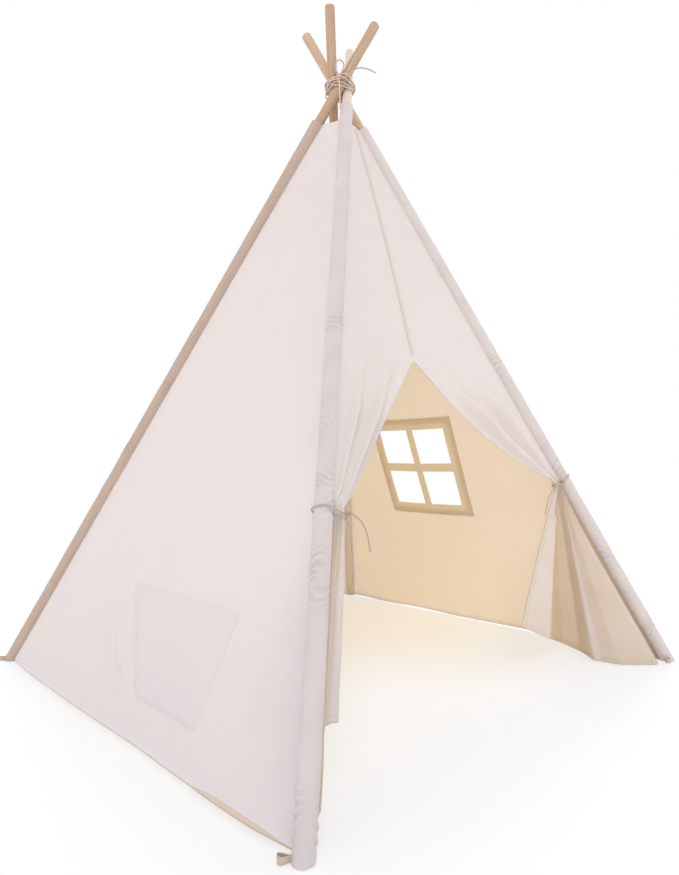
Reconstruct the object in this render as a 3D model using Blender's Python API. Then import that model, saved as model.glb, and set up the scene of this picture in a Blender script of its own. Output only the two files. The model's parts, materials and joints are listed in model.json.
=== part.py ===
"""A play tent for children: four dowel poles lashed into a pyramid, with a sewn cotton cover.

Metres, +Z up. The origin is on the floor, midway between the four feet. The door faces -Y.
Each pole leans in from its corner and passes its neighbours with the smallest gap, like the
straight lines of one family on a waisted ring. The cover is four walls, sewn to a sleeve
round each pole. The front wall is two halves, joined by a seam above the door and gathered
to the front poles below it.
"""
import math

import bmesh
import bpy
import numpy as np

# Poles
BASE_WIDTH = 1.200
CROSS_HEIGHT = 1.500
POLE_LENGTH = 1.905
POLE_DIAMETER = 0.025
POLE_CLEARANCE = 0.0004
POLE_SECTIONS = 4
SECTION_GAP = 0.0004
TIP_ROUNDING = 0.006
FERRULE_LENGTH = 0.080
FERRULE_WALL = 0.0010
SLIDE_GAP = 0.0003
ROUND_SIDES = 16

# Sleeves, the cloth tubes that the poles stand in
SLEEVE_CLOTH = 0.0022
SLEEVE_TOE = 0.0025
SLEEVE_STOP = 0.115
FRONT_SLEEVE_STOP = 0.070

# Walls
CLOTH = 0.0024
SEAM_GAP = 0.0003
HEM_LIFT = 0.0040
TOP_HEM_DROP = 0.006
WALL_BOW = 0.030
LEFT_WALL_BOW = 0.010

# Window in the right wall
WINDOW_HEIGHT = 0.290
WINDOW_WIDTH = 0.320
WINDOW_SILL = 0.363
WINDOW_OFFSET = 0.040
WINDOW_TAPE = 0.032
WINDOW_BAR = 0.024
TAPE_CLOTH = 0.0016

# Pocket inside the left wall
POCKET_MOUTH = 0.409
POCKET_BASE = 0.222
POCKET_SILL = 0.065
POCKET_RIM = 0.250
POCKET_MOUTH_OFFSET = 0.094
POCKET_BASE_OFFSET = 0.181
POCKET_SAG = 0.024
POCKET_CLOTH = 0.0016

# Door, its seam and the two gathered curtains
APEX_HEIGHT = 0.757
APEX_OFFSET = -0.020
APEX_BOW = 0.030
SEAM_TAPE_WIDTH = 0.010
TAPE_END_SHARE = 0.12
PANEL_BOW_SHARE = 0.03
WAIST_WIDTH = 0.038
WAIST_DEPTH = 0.012
FREE_EDGE_SAG = 0.030
CURTAIN_FOLDS = 2.5
FOLD_STEEPNESS_SHARE = 0.22
FOLD_FADE_SHARE = 2.5
LEFT_TIE_REACH = 0.492
RIGHT_TIE_REACH = 0.538
LEFT_CORNER_LIFT = 0.100
LEFT_CORNER_INSET = 0.160
LEFT_CORNER_DEPTH = 0.130
RIGHT_CORNER_LIFT = 0.125
RIGHT_CORNER_INSET = 0.405
RIGHT_CORNER_DEPTH = 0.180
CURTAIN_SPLIT = 0.0006

# Cords
LASHING_CORD = 0.0038
LASHING_TURNS = 7
LASHING_PITCH = 0.0058
LASHING_SPLAY_SHARE = 0.02
BOW_HEIGHT = 0.047
BOW_WIDTH = 0.024
HANGING_END = 0.092
STICKING_END = 0.095
TIE_CORD = 0.0034
TIE_LOOSENESS = 0.0012
TIE_NECK = 0.0070
LEFT_END_SPANS = ((0.058, 0.004, 0.054), (0.028, 0.006, 0.108))
RIGHT_END_SPANS = ((0.074, 0.004, 0.070), (0.040, 0.014, 0.074), (0.012, 0.050, 0.089))
KNOT_SIZE = 0.0130
KNOT_WAIST_SHARE = 0.88
KNOT_LENGTH_SHARE = 0.58

# Ribbon loops on the floor at the four corners
TAB_WIDTH = 0.014
TAB_LENGTH = 0.024
TAB_CLOTH = 0.0012
TAB_HEIGHT = 0.0060

UP = np.array([0.0, 0.0, 1.0])
CORNERS = {
    "front_left": (-1, -1),
    "back_left": (-1, 1),
    "front_right": (1, -1),
    "back_right": (1, 1),
}
POLE_RADIUS = POLE_DIAMETER / 2
FERRULE_BORE = POLE_RADIUS + SLIDE_GAP
FERRULE_RADIUS = FERRULE_BORE + FERRULE_WALL
SLEEVE_BORE = FERRULE_RADIUS + SLIDE_GAP
SLEEVE_RADIUS = SLEEVE_BORE + SLEEVE_CLOTH
SEAM_REACH = SLEEVE_RADIUS / math.cos(math.pi / ROUND_SIDES) + SEAM_GAP
KNOT_RADIUS = KNOT_SIZE / 2 * KNOT_WAIST_SHARE
KNOT_REACH = KNOT_SIZE * KNOT_LENGTH_SHARE
KNOT_END_ANGLE = math.radians(75)

COLOURS = {
    "dowel": ((0.66, 0.46, 0.28), 0.55, 0.0),
    "ferrule": ((0.62, 0.62, 0.60), 0.35, 1.0),
    "canvas": ((0.86, 0.82, 0.76), 0.90, 0.0),
    "sleeve": ((0.80, 0.75, 0.70), 0.90, 0.0),
    "tape": ((0.74, 0.62, 0.46), 0.88, 0.0),
    "cord": ((0.55, 0.46, 0.38), 0.80, 0.0),
}


def unit(vector):
    return vector / np.linalg.norm(vector)


def clear_scene():
    for obj in list(bpy.data.objects):
        bpy.data.objects.remove(obj, do_unlink=True)


def material(name):
    """A Principled material from the colour table, made once."""
    found = bpy.data.materials.get(name)
    if found:
        return found
    colour, roughness, metallic = COLOURS[name]
    made = bpy.data.materials.new(name)
    made.use_nodes = True
    shader = made.node_tree.nodes["Principled BSDF"]
    shader.inputs["Base Color"].default_value = (*colour, 1.0)
    shader.inputs["Roughness"].default_value = roughness
    shader.inputs["Metallic"].default_value = metallic
    made.diffuse_color = (*colour, 1.0)
    return made


def add_object(name, data, finish):
    data.materials.append(material(finish))
    obj = bpy.data.objects.new(name, data)
    bpy.context.scene.collection.objects.link(obj)
    return obj


def add_mesh(name, points, faces, finish, smooth_angle=math.radians(40)):
    """A mesh object from points and faces, with its faces turned outwards where it is closed."""
    mesh = bpy.data.meshes.new(name)
    mesh.from_pydata([tuple(map(float, p)) for p in points], [], faces)
    shape = bmesh.new()
    shape.from_mesh(mesh)
    bmesh.ops.recalc_face_normals(shape, faces=shape.faces)
    shape.to_mesh(mesh)
    shape.free()
    mesh.shade_smooth()
    mesh.set_sharp_from_angle(angle=smooth_angle)
    return add_object(name, mesh, finish)


def rings_to_mesh(rings, closed_loop=False):
    """Points and faces of a skin over rings of equal count, capped at both ends unless it closes on itself."""
    count = len(rings[0])
    points = np.concatenate(rings)
    pairs = list(zip(range(len(rings)), range(1, len(rings))))
    if closed_loop:
        pairs.append((len(rings) - 1, 0))
    faces = [
        (a * count + i, a * count + (i + 1) % count, b * count + (i + 1) % count, b * count + i)
        for a, b in pairs
        for i in range(count)
    ]
    if not closed_loop:
        faces.append(tuple(reversed(range(count))))
        faces.append(tuple(range((len(rings) - 1) * count, len(rings) * count)))
    return points, faces


def add_cord(name, points, diameter, finish, resolution):
    """A tube of round section along the points, with filled ends."""
    curve = bpy.data.curves.new(name, "CURVE")
    curve.dimensions = "3D"
    curve.bevel_depth = diameter / 2
    curve.bevel_resolution = resolution
    curve.use_fill_caps = True
    spline = curve.splines.new("POLY")
    spline.points.add(len(points) - 1)
    for target, point in zip(spline.points, points):
        target.co = (*map(float, point), 1.0)
    return add_object(name, curve, finish)


def smooth_route(knots, spacing, steps=40):
    """Points on the smooth curve through the knots, by Catmull-Rom weights.

    The first stretch stays one straight step, so that the cord leaves its seat squarely.
    """
    knots = np.asarray(knots, float)
    padded = np.vstack([2 * knots[0] - knots[1], knots, 2 * knots[-1] - knots[-2]])
    fine = []
    for before, start, end, after in zip(padded, padded[1:], padded[2:], padded[3:]):
        t = np.linspace(0, 1, steps, endpoint=False)[:, None]
        fine.append(
            start
            + t * (end - before) / 2
            + t**2 * (2 * before - 5 * start + 4 * end - after) / 2
            + t**3 * (3 * start - before - 3 * end + after) / 2
        )
    fine = np.vstack([*fine, knots[-1:]])
    run = np.concatenate([[0], np.cumsum(np.linalg.norm(np.diff(fine, axis=0), axis=1))])
    count = max(4, round((run[-1] - run[steps]) / spacing) + 1)
    stops = np.concatenate([[0], np.linspace(run[steps], run[-1], count)])
    return np.stack([np.interp(stops, run, fine[:, k]) for k in range(3)], axis=1)


def nearest_points(point_a, way_a, point_b, way_b):
    """The nearest points of two straight lines that aren't parallel."""
    across = np.cross(way_a, way_b)
    steps = np.linalg.solve(np.array([way_a, -way_b, across]).T, point_b - point_a)
    return point_a + way_a * steps[0], point_b + way_b * steps[1]


class Pole:
    """A pole's straight axis. Distances along it start where the axis meets the floor."""

    def __init__(self, corner, offset):
        self.foot = np.array([*CORNERS[corner], 0.0]) * BASE_WIDTH / 2
        inward = unit(-self.foot)
        beside = np.cross(inward, UP)
        through = CROSS_HEIGHT * UP + offset * beside
        self.way = unit(through - self.foot)
        self.crossing = float(np.linalg.norm(through - self.foot))
        self.side = unit(np.cross(self.way, UP))
        self.over = np.cross(self.side, self.way)

    def at(self, reach):
        return self.foot + self.way * reach

    def at_height(self, height):
        return self.at(height / self.way[2])

    def ring(self, reach, radius):
        turn = np.arange(ROUND_SIDES) * 2 * math.pi / ROUND_SIDES
        around = np.outer(np.cos(turn), self.side) + np.outer(np.sin(turn), self.over)
        return self.at(reach) + radius / math.cos(math.pi / ROUND_SIDES) * around

    def floor_ring(self, radius):
        """The ring's points slid along the axis down to the floor."""
        ring = self.ring(0.0, radius)
        return ring - np.outer(ring[:, 2] / self.way[2], self.way)


def crossing_offset():
    """How far each axis passes from the middle so that neighbouring poles just clear each other."""
    wanted = POLE_DIAMETER / math.cos(math.pi / ROUND_SIDES) + POLE_CLEARANCE
    offset = wanted
    for _ in range(6):
        one, two = (Pole(corner, offset) for corner in ("front_left", "back_left"))
        near, far = nearest_points(one.foot, one.way, two.foot, two.way)
        offset *= wanted / float(np.linalg.norm(near - far))
    return offset


OFFSET = crossing_offset()
POLES = {corner: Pole(corner, OFFSET) for corner in CORNERS}
LEAN = math.acos(POLES["front_left"].way[2])
TOE_REACH = (SLEEVE_TOE + SLEEVE_BORE * math.sin(LEAN)) / math.cos(LEAN)
POLE_START = TOE_REACH + SECTION_GAP
SLEEVE_TOP = POLES["front_left"].crossing - SLEEVE_STOP
WALL_TOP = (SLEEVE_TOP - TOP_HEM_DROP) * math.cos(LEAN)


def build_pole(corner):
    """Four dowel lengths end to end, with a metal ferrule over each joint."""
    pole = POLES[corner]
    length = (POLE_LENGTH - (POLE_SECTIONS - 1) * SECTION_GAP) / POLE_SECTIONS
    step = length + SECTION_GAP
    for number in range(POLE_SECTIONS):
        low = POLE_START + number * step
        rings = [pole.ring(low, POLE_RADIUS), pole.ring(low + length, POLE_RADIUS)]
        if number == POLE_SECTIONS - 1:
            rings.pop()
            for angle in np.radians([0, 30, 60, 85]):
                inset = TIP_ROUNDING * (1 - math.cos(angle))
                drop = TIP_ROUNDING * (1 - math.sin(angle))
                rings.append(pole.ring(low + length - drop, POLE_RADIUS - inset))
        add_mesh(f"{corner}_pole_section_{number + 1}", *rings_to_mesh(rings), "dowel")
    for number in range(1, POLE_SECTIONS):
        middle = POLE_START + number * step - SECTION_GAP / 2
        low, high = middle - FERRULE_LENGTH / 2, middle + FERRULE_LENGTH / 2
        rings = [
            pole.ring(low, FERRULE_RADIUS),
            pole.ring(high, FERRULE_RADIUS),
            pole.ring(high, FERRULE_BORE),
            pole.ring(low, FERRULE_BORE),
        ]
        add_mesh(f"{corner}_ferrule_{number}", *rings_to_mesh(rings, closed_loop=True), "ferrule")


def build_sleeve(corner):
    """A cloth tube, shut at the floor by a toe that is cut flat, open at the top."""
    pole = POLES[corner]
    stop = FRONT_SLEEVE_STOP if corner == "front_left" else SLEEVE_STOP
    top = pole.crossing - stop
    rings = [
        pole.floor_ring(SLEEVE_RADIUS),
        pole.ring(top - SLEEVE_CLOTH, SLEEVE_RADIUS),
        pole.ring(top, SLEEVE_RADIUS - SLEEVE_CLOTH / 2),
        pole.ring(top - SLEEVE_CLOTH / 2, SLEEVE_BORE),
        pole.ring(TOE_REACH, SLEEVE_BORE),
    ]
    add_mesh(f"{corner}_sleeve", *rings_to_mesh(rings), "sleeve")


class Wall:
    """The ruled surface between two poles. Its points are (distance from its middle, height)."""

    def __init__(self, start, end, bow):
        self.start, self.end, self.bow = POLES[start], POLES[end], bow
        low = self.end.at_height(HEM_LIFT) - self.start.at_height(HEM_LIFT)
        rise = self.middle(WALL_TOP) - self.middle(HEM_LIFT)
        self.inward = unit(np.cross(low, rise))
        if self.inward @ self.middle(HEM_LIFT) > 0:
            self.inward = -self.inward

    def middle(self, height):
        return (self.start.at_height(height) + self.end.at_height(height)) / 2

    def half_width(self, height):
        """Half the width between the sleeves, whose round outside the slanted edge has to clear."""
        span = self.end.at_height(height) - self.start.at_height(height)
        turned = float(np.linalg.norm(np.cross(unit(span), self.start.way)))
        return float(np.linalg.norm(span)) / 2 - SEAM_REACH / turned

    def point(self, across, height, lift=0.0):
        """A point of the wall, bowed inwards between its sleeves and its two hems."""
        along = unit(self.end.at_height(height) - self.start.at_height(height))
        share = np.clip(across / self.half_width(height), -1, 1)
        rise = (height - HEM_LIFT) / (WALL_TOP - HEM_LIFT)
        belly = self.bow * (1 - share**2) * math.sin(math.pi * rise**0.7)
        return self.middle(height) + along * across + self.inward * (belly + lift)


def grid_faces(rows, columns, holes=()):
    """Quads of a grid, less the cells (row, column) in holes."""
    return [
        (
            r * columns + c,
            r * columns + c + 1,
            (r + 1) * columns + c + 1,
            (r + 1) * columns + c,
        )
        for r in range(rows - 1)
        for c in range(columns - 1)
        if (r, c) not in holes
    ]


def add_sheet(name, grid, thickness, finish, holes=()):
    """A cloth sheet of even thickness from a grid of points, with the listed cells left out."""
    rows, columns = grid.shape[:2]
    faces = grid_faces(rows, columns, holes)
    used = sorted({corner for face in faces for corner in face})
    place = {old: new for new, old in enumerate(used)}
    faces = [tuple(place[corner] for corner in face) for face in faces]
    sheet = add_mesh(name, grid.reshape(-1, 3)[used], faces, finish)
    solid = sheet.modifiers.new("cloth_thickness", "SOLIDIFY")
    solid.thickness = thickness
    solid.offset = 0.0
    return sheet


def wall_heights(count):
    return HEM_LIFT + (WALL_TOP - HEM_LIFT) * np.linspace(0, 1, count) ** 0.9


def build_plain_wall(name, wall, rows=13, columns=11):
    shares = np.linspace(-1, 1, columns)
    grid = np.array(
        [[wall.point(s * wall.half_width(z), z) for s in shares] for z in wall_heights(rows)]
    )
    add_sheet(name, grid, CLOTH, "canvas")


def window_lines():
    """The window's lines across and up: tape outside, hole edge, tape inside, bar edges."""
    half, hole = WINDOW_WIDTH / 2, (WINDOW_WIDTH - WINDOW_TAPE) / 2
    clear, bar = WINDOW_WIDTH / 2 - WINDOW_TAPE, WINDOW_BAR / 2
    across = WINDOW_OFFSET + np.array([-half, -hole, -clear, -bar, bar, clear, hole, half])
    middle = WINDOW_SILL + WINDOW_HEIGHT / 2
    rise = WINDOW_HEIGHT / 2 - WINDOW_WIDTH / 2
    up = middle + np.array(
        [-half - rise, -hole - rise, -clear - rise, -bar, bar, clear + rise, hole + rise, half + rise]
    )
    return across, up


def build_window_wall(wall, outer_columns=3):
    """The right wall, with one hole that the window's tape frame borders and crosses."""
    across, up = window_lines()
    below = np.linspace(HEM_LIFT, up[0], 5)[:-1]
    above = up[-1] + (WALL_TOP - up[-1]) * np.linspace(0, 1, 9)[1:]
    heights = [*below, *up, *above]
    rows = []
    for z in heights:
        narrow = min(1.0, wall.half_width(z) / wall.half_width(up[-1]))
        inner = across * narrow
        edge = wall.half_width(z)
        left = -edge + (inner[0] + edge) * np.linspace(0, 1, outer_columns + 1)[:-1]
        right = inner[-1] + (edge - inner[-1]) * np.linspace(0, 1, outer_columns + 1)[1:]
        rows.append([wall.point(w, z) for w in (*left, *inner, *right)])
    first_row, first_column = len(below) + 1, outer_columns + 1
    holes = {(first_row + r, first_column + c) for r in range(5) for c in range(5)}
    add_sheet("right_wall", np.array(rows), CLOTH, "canvas", holes)


def build_window_frame(wall):
    """Tape round and across the hole, lying on the wall's inner face."""
    across, up = window_lines()
    lift = CLOTH / 2 + SEAM_GAP + TAPE_CLOTH / 2
    grid = np.array([[wall.point(w, z, lift) for w in across] for z in up])
    holes = {(r, c) for r in (2, 4) for c in (2, 4)}
    add_sheet("window_frame", grid, TAPE_CLOTH, "tape", holes)


def build_pocket(wall, rows=6, columns=11):
    """A cloth pouch on the left wall's inner face, open at its top and sewn at its other edges."""
    seat = CLOTH / 2 + SEAM_GAP + POCKET_CLOTH / 2
    grid = []
    for rise in np.linspace(0, 1, rows):
        z = POCKET_SILL + (POCKET_RIM - POCKET_SILL) * rise
        half = (POCKET_BASE + (POCKET_MOUTH - POCKET_BASE) * rise) / 2
        offset = POCKET_BASE_OFFSET + (POCKET_MOUTH_OFFSET - POCKET_BASE_OFFSET) * rise
        line = []
        for share in np.linspace(-1, 1, columns):
            sag = POCKET_SAG * (1 - share**4) * math.sin(math.pi / 2 * min(1.0, 1.25 * rise))
            line.append(wall.point(offset + share * half, z, seat + sag))
        grid.append(line)
    add_sheet("inside_pocket", np.array(grid), POCKET_CLOTH, "canvas")


class Curtain:
    """One half of the front wall, from its sleeve to the seam, and to the gathered free edge below the apex.

    A row starts on the sleeve at a reach along the pole, where u is 0, and ends at u = 1.
    """

    def __init__(self, side):
        self.side = side
        self.wall = WALLS["front"]
        left = side == "left"
        self.pole = POLES[f"front_{side}"]
        self.sign = 1 if left else -1
        self.tie = LEFT_TIE_REACH if left else RIGHT_TIE_REACH
        lift = LEFT_CORNER_LIFT if left else RIGHT_CORNER_LIFT
        inset = LEFT_CORNER_INSET if left else RIGHT_CORNER_INSET
        depth = LEFT_CORNER_DEPTH if left else RIGHT_CORNER_DEPTH
        flat = self.sign * np.array([1.0, 0.0, 0.0])
        self.across = unit(flat - (flat @ self.pole.way) * self.pole.way)
        self.corner = self.pole.foot + np.array([self.sign * inset, depth, lift])
        self.neck = TIE_NECK
        self.low = (HEM_LIFT + SEAM_REACH * abs(self.across[2])) / self.pole.way[2]
        self.top = WALL_TOP / self.pole.way[2]
        self.apex_reach = APEX_HEIGHT / self.pole.way[2]
        self.seam_reaches = np.linspace(self.apex_reach, self.top, 7)

    def seam(self, height):
        """The front seam, which slants and bows inwards down to the door's apex."""
        share = (WALL_TOP - height) / (WALL_TOP - APEX_HEIGHT)
        line = self.wall.middle(height) + self.wall.inward * APEX_BOW * share**2
        line = line + np.array([APEX_OFFSET * share, 0.0, 0.0])
        return line - self.sign * np.array([SEAM_GAP, 0.0, 0.0])

    def waist(self, reach):
        """The free edge where the cord holds the gathered cloth against the sleeve."""
        return self.pole.at(reach) + self.across * (SEAM_REACH + WAIST_WIDTH)

    def end(self, reach):
        """A row's free end: on the seam, along the door's edge, at the waist, or down to the loose corner."""
        if reach >= self.apex_reach:
            return self.seam(min(WALL_TOP, reach * float(self.pole.way[2])))
        high, low = self.tie + self.neck, self.tie - self.neck
        if low <= reach <= high:
            return self.waist(reach)
        if reach > high:
            share = (reach - high) / (self.apex_reach - high)
            sag = FREE_EDGE_SAG * math.sin(math.pi * share)
            start, finish = self.waist(high), self.seam(APEX_HEIGHT)
            return start + (finish - start) * share + sag * (self.wall.inward - UP) / 2
        share = (low - reach) / (low - self.low)
        return self.waist(low) + (self.corner - self.waist(low)) * share

    def cloth_width(self, reach):
        """How wide the flat cloth is here: half the distance between the two front poles."""
        height = min(WALL_TOP, reach * float(self.pole.way[2]))
        return self.wall.half_width(height)

    def row(self, reach, columns):
        """A row's points, with folds of an even pitch that are as deep as the spare cloth makes them."""
        end = self.end(reach)
        base = self.pole.at(reach)
        radial = end - base
        radial = unit(radial - (radial @ self.pole.way) * self.pole.way)
        sewn = base + radial * SEAM_REACH
        width = float(np.linalg.norm(end - sewn))
        normal = unit(np.cross(self.pole.way, radial))
        if normal @ self.wall.inward < 0:
            normal = -normal
        u = np.linspace(0, 1, columns)
        spare = max(0.0, self.cloth_width(reach) / width - 1)
        pitch = width / CURTAIN_FOLDS
        fade = np.clip(FOLD_FADE_SHARE * (self.apex_reach - reach) / (self.apex_reach - self.tie), 0, 1)
        depth = fade * pitch * min(FOLD_STEEPNESS_SHARE, math.sqrt(spare) / math.pi)
        fold = depth * np.sin(2 * math.pi * CURTAIN_FOLDS * u) * np.minimum(1.0, 4 * u) ** 2
        bow = (1 - fade) * width * PANEL_BOW_SHARE * 4 * u * (1 - u)
        line = sewn + np.outer(u, end - sewn) + np.outer(fold + bow, normal)
        if reach < self.tie - self.neck:
            self.settle(line, u, (self.tie - self.neck - reach) / (self.tie - self.neck - self.low))
        return line

    def settle(self, line, u, share):
        """Keeps the hem's sewn half on the floor, rising to the lifted free corner."""
        rest = HEM_LIFT + (self.corner[2] - HEM_LIFT) * np.clip((u - 0.35) / 0.65, 0, 1) ** 1.6
        straight = line[0, 2] + (self.corner[2] - line[0, 2]) * u
        line[:, 2] += (rest - straight) * share**3 * np.minimum(1.0, 4 * u) ** 2

    def build_panel(self, columns=17):
        """The half wall above the tie."""
        gathered = self.tie + self.neck
        near = gathered + (self.apex_reach - gathered) * np.linspace(0, 1, 9) ** 1.2
        near = [self.tie + CURTAIN_SPLIT / 2, *near]
        grid = np.array([self.row(reach, columns) for reach in (*near, *self.seam_reaches[1:])])
        add_sheet(f"front_panel_{self.side}", grid, CLOTH, "canvas")

    def build_skirt(self, columns=21, rows=11):
        """The gathered cloth below the tie, which falls to the floor."""
        high = self.tie - self.neck
        reaches = self.low + (high - self.low) * (1 - np.linspace(0, 1, rows) ** 1.3)
        reaches = [self.tie - CURTAIN_SPLIT / 2, *reaches]
        grid = np.array([self.row(reach, columns) for reach in reaches])
        add_sheet(f"door_curtain_{self.side}", grid, CLOTH, "canvas")

    def build_tie(self):
        """A cord sewn into the corner seam, round the sleeve and the gathered cloth, with its knot."""
        pole = self.pole
        middle = pole.at(self.tie)
        inner = np.cross(pole.way, self.across)
        if inner @ self.wall.inward < 0:
            inner = -inner
        slack = SEAM_GAP + TIE_CORD / 2 + TIE_LOOSENESS
        tip = SEAM_REACH + WAIST_WIDTH - WAIST_DEPTH / 2
        centres = np.array([[0.0, 0.0], [tip, 0.0]])
        reach = np.array([SEAM_REACH + slack, (WAIST_DEPTH + CLOTH) / 2 + slack])
        back = np.array([0.0, 1.0, 0.0])
        seam = math.atan2(float(back @ inner), float(back @ self.across))
        clear = (CLOTH / 2 + 4 * SEAM_GAP) / reach[0]
        turn = np.linspace(seam - clear, seam + clear - 2 * math.pi, 361)
        radius = hull_radius(turn, centres, reach)
        fine = np.outer(radius * np.cos(turn), self.across) + np.outer(radius * np.sin(turn), inner)
        run = np.concatenate([[0], np.cumsum(np.linalg.norm(np.diff(fine, axis=0), axis=1))])
        stops = np.linspace(0, run[-1], 25)
        route = middle + np.stack([np.interp(stops, run, fine[:, k]) for k in range(3)], axis=1)
        add_cord(f"tieback_{self.side}", route, TIE_CORD, "cord", 2)
        stand = reach[1] + TIE_CORD / 2 + 3 * SEAM_GAP + KNOT_RADIUS
        knot = middle + self.across * tip - inner * stand
        build_knot(f"tieback_{self.side}_knot", knot, -inner, self.across, "cord")
        self.build_ends(knot, -inner)

    def build_ends(self, knot, outward):
        """Loose ends of the cord: each leaves the knot square to it, then bends down and hangs."""
        spans = LEFT_END_SPANS if self.side == "left" else RIGHT_END_SPANS
        flat = self.sign * np.array([1.0, 0.0, 0.0])
        outside = np.array([0.0, -1.0, 0.0])
        down = -unit(UP - (UP @ self.across) * self.across)
        leaves = ((self.across, KNOT_REACH), (down, KNOT_RADIUS), (outward, KNOT_RADIUS))
        for number, ((sideways, forwards, drop), (way, reach)) in enumerate(zip(spans, leaves), 1):
            start = knot + way * (reach + SEAM_GAP)
            swing = flat * sideways + outside * forwards
            route = [
                start,
                start + way * TIE_CORD,
                start + way * TIE_CORD + swing * 0.45 - UP * drop * 0.18,
                start + way * TIE_CORD + swing * 0.80 - UP * drop * 0.52,
                start + way * TIE_CORD + swing - UP * drop,
            ]
            points = smooth_route(route, 2.5 * TIE_CORD)
            add_cord(f"tieback_{self.side}_end_{number}", points, TIE_CORD, "cord", 2)


def hull_radius(turn, centres, reach):
    """How far a tight band lies from the origin at each angle: the hull of round centres, by its support lines."""
    lines = np.radians(np.arange(0, 360, 2))
    ways = np.stack([np.cos(lines), np.sin(lines)])
    support = (centres @ ways + np.reshape(reach, (-1, 1))).max(axis=0)
    facing = np.cos(turn[:, None] - lines[None, :])
    return np.where(facing > 0.3, support / np.maximum(facing, 0.3), np.inf).min(axis=1)


def least_gap(route, diameter):
    """The least distance between turns of a route, less the cord's diameter."""
    fine = smooth_route(route, diameter / 2)
    apart = np.linalg.norm(fine[:, None] - fine[None, :], axis=2)
    order = np.arange(len(fine))
    far = np.abs(order[:, None] - order[None, :]) > 12
    return float(apart[far].min()) - diameter


def build_knot(name, middle, outward, along, finish):
    """A squashed round lump with a waist, as a pulled knot has."""
    forward = unit(outward)
    along = unit(along - (along @ forward) * forward)
    upward = np.cross(forward, along)
    rings = []
    for angle in KNOT_END_ANGLE * np.linspace(-1, 1, 7):
        drawn = 1 - (1 - KNOT_WAIST_SHARE) * math.cos(2 * angle)
        radius = KNOT_SIZE / 2 * math.cos(angle) * drawn
        centre = middle + along * KNOT_REACH * math.sin(angle) / math.sin(KNOT_END_ANGLE)
        turn = np.arange(10) * 2 * math.pi / 10
        rings.append(
            centre
            + radius * np.outer(np.cos(turn), forward)
            + radius * np.outer(np.sin(turn), upward)
        )
    add_mesh(name, *rings_to_mesh(rings), finish)


def build_seam_tape(left, right):
    """The narrow strip sewn over the front seam's outer side, from the door's apex to the top hem."""
    lift = CLOTH / 2 + 2 * SEAM_GAP + TAPE_CLOTH / 2
    outside = -left.wall.inward * lift
    rows = []
    for reach in left.seam_reaches:
        ends = [curtain.row(reach, 17)[-2:] for curtain in (left, right)]
        edges = [end[1] + unit(end[0] - end[1]) * SEAM_TAPE_WIDTH / 2 for end in ends]
        middle = (ends[0][1] + ends[1][1]) / 2
        rows.append(np.array([edges[0], middle, edges[1]]) + outside)
    rows[0] = rows[0] + (rows[1] - rows[0]) * TAPE_END_SHARE
    rows[-1] = rows[-1] + (rows[-2] - rows[-1]) * TAPE_END_SHARE
    add_sheet("door_seam_tape", np.array(rows), TAPE_CLOTH, "tape")


def build_lashing():
    """A cord wound tightly round the four poles where they cross, its knot, bow and two loose ends."""
    reach = POLE_RADIUS / math.cos(LEAN) + LASHING_CORD / 2 + SEAM_GAP
    turn = np.linspace(0, LASHING_TURNS * 2 * math.pi, 24 * LASHING_TURNS + 1) + math.pi * 1.25
    height = CROSS_HEIGHT + (np.linspace(0, 1, len(turn)) - 0.5) * LASHING_TURNS * LASHING_PITCH
    radius = []
    for angle, z in zip(turn, height):
        centres = np.array([pole.at_height(z)[:2] for pole in POLES.values()])
        spread = reach + abs(z - CROSS_HEIGHT) * LASHING_SPLAY_SHARE
        radius.append(hull_radius(np.array([angle]), centres, np.full(4, spread))[0])
    radius = np.array(radius)
    route = np.stack([radius * np.cos(turn), radius * np.sin(turn), height], axis=1)
    add_cord("lashing_winding", route, LASHING_CORD, "cord", 1)
    print(f"lashing_winding: least gap between turns {1000 * least_gap(route, LASHING_CORD):.2f} mm")
    return route


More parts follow.
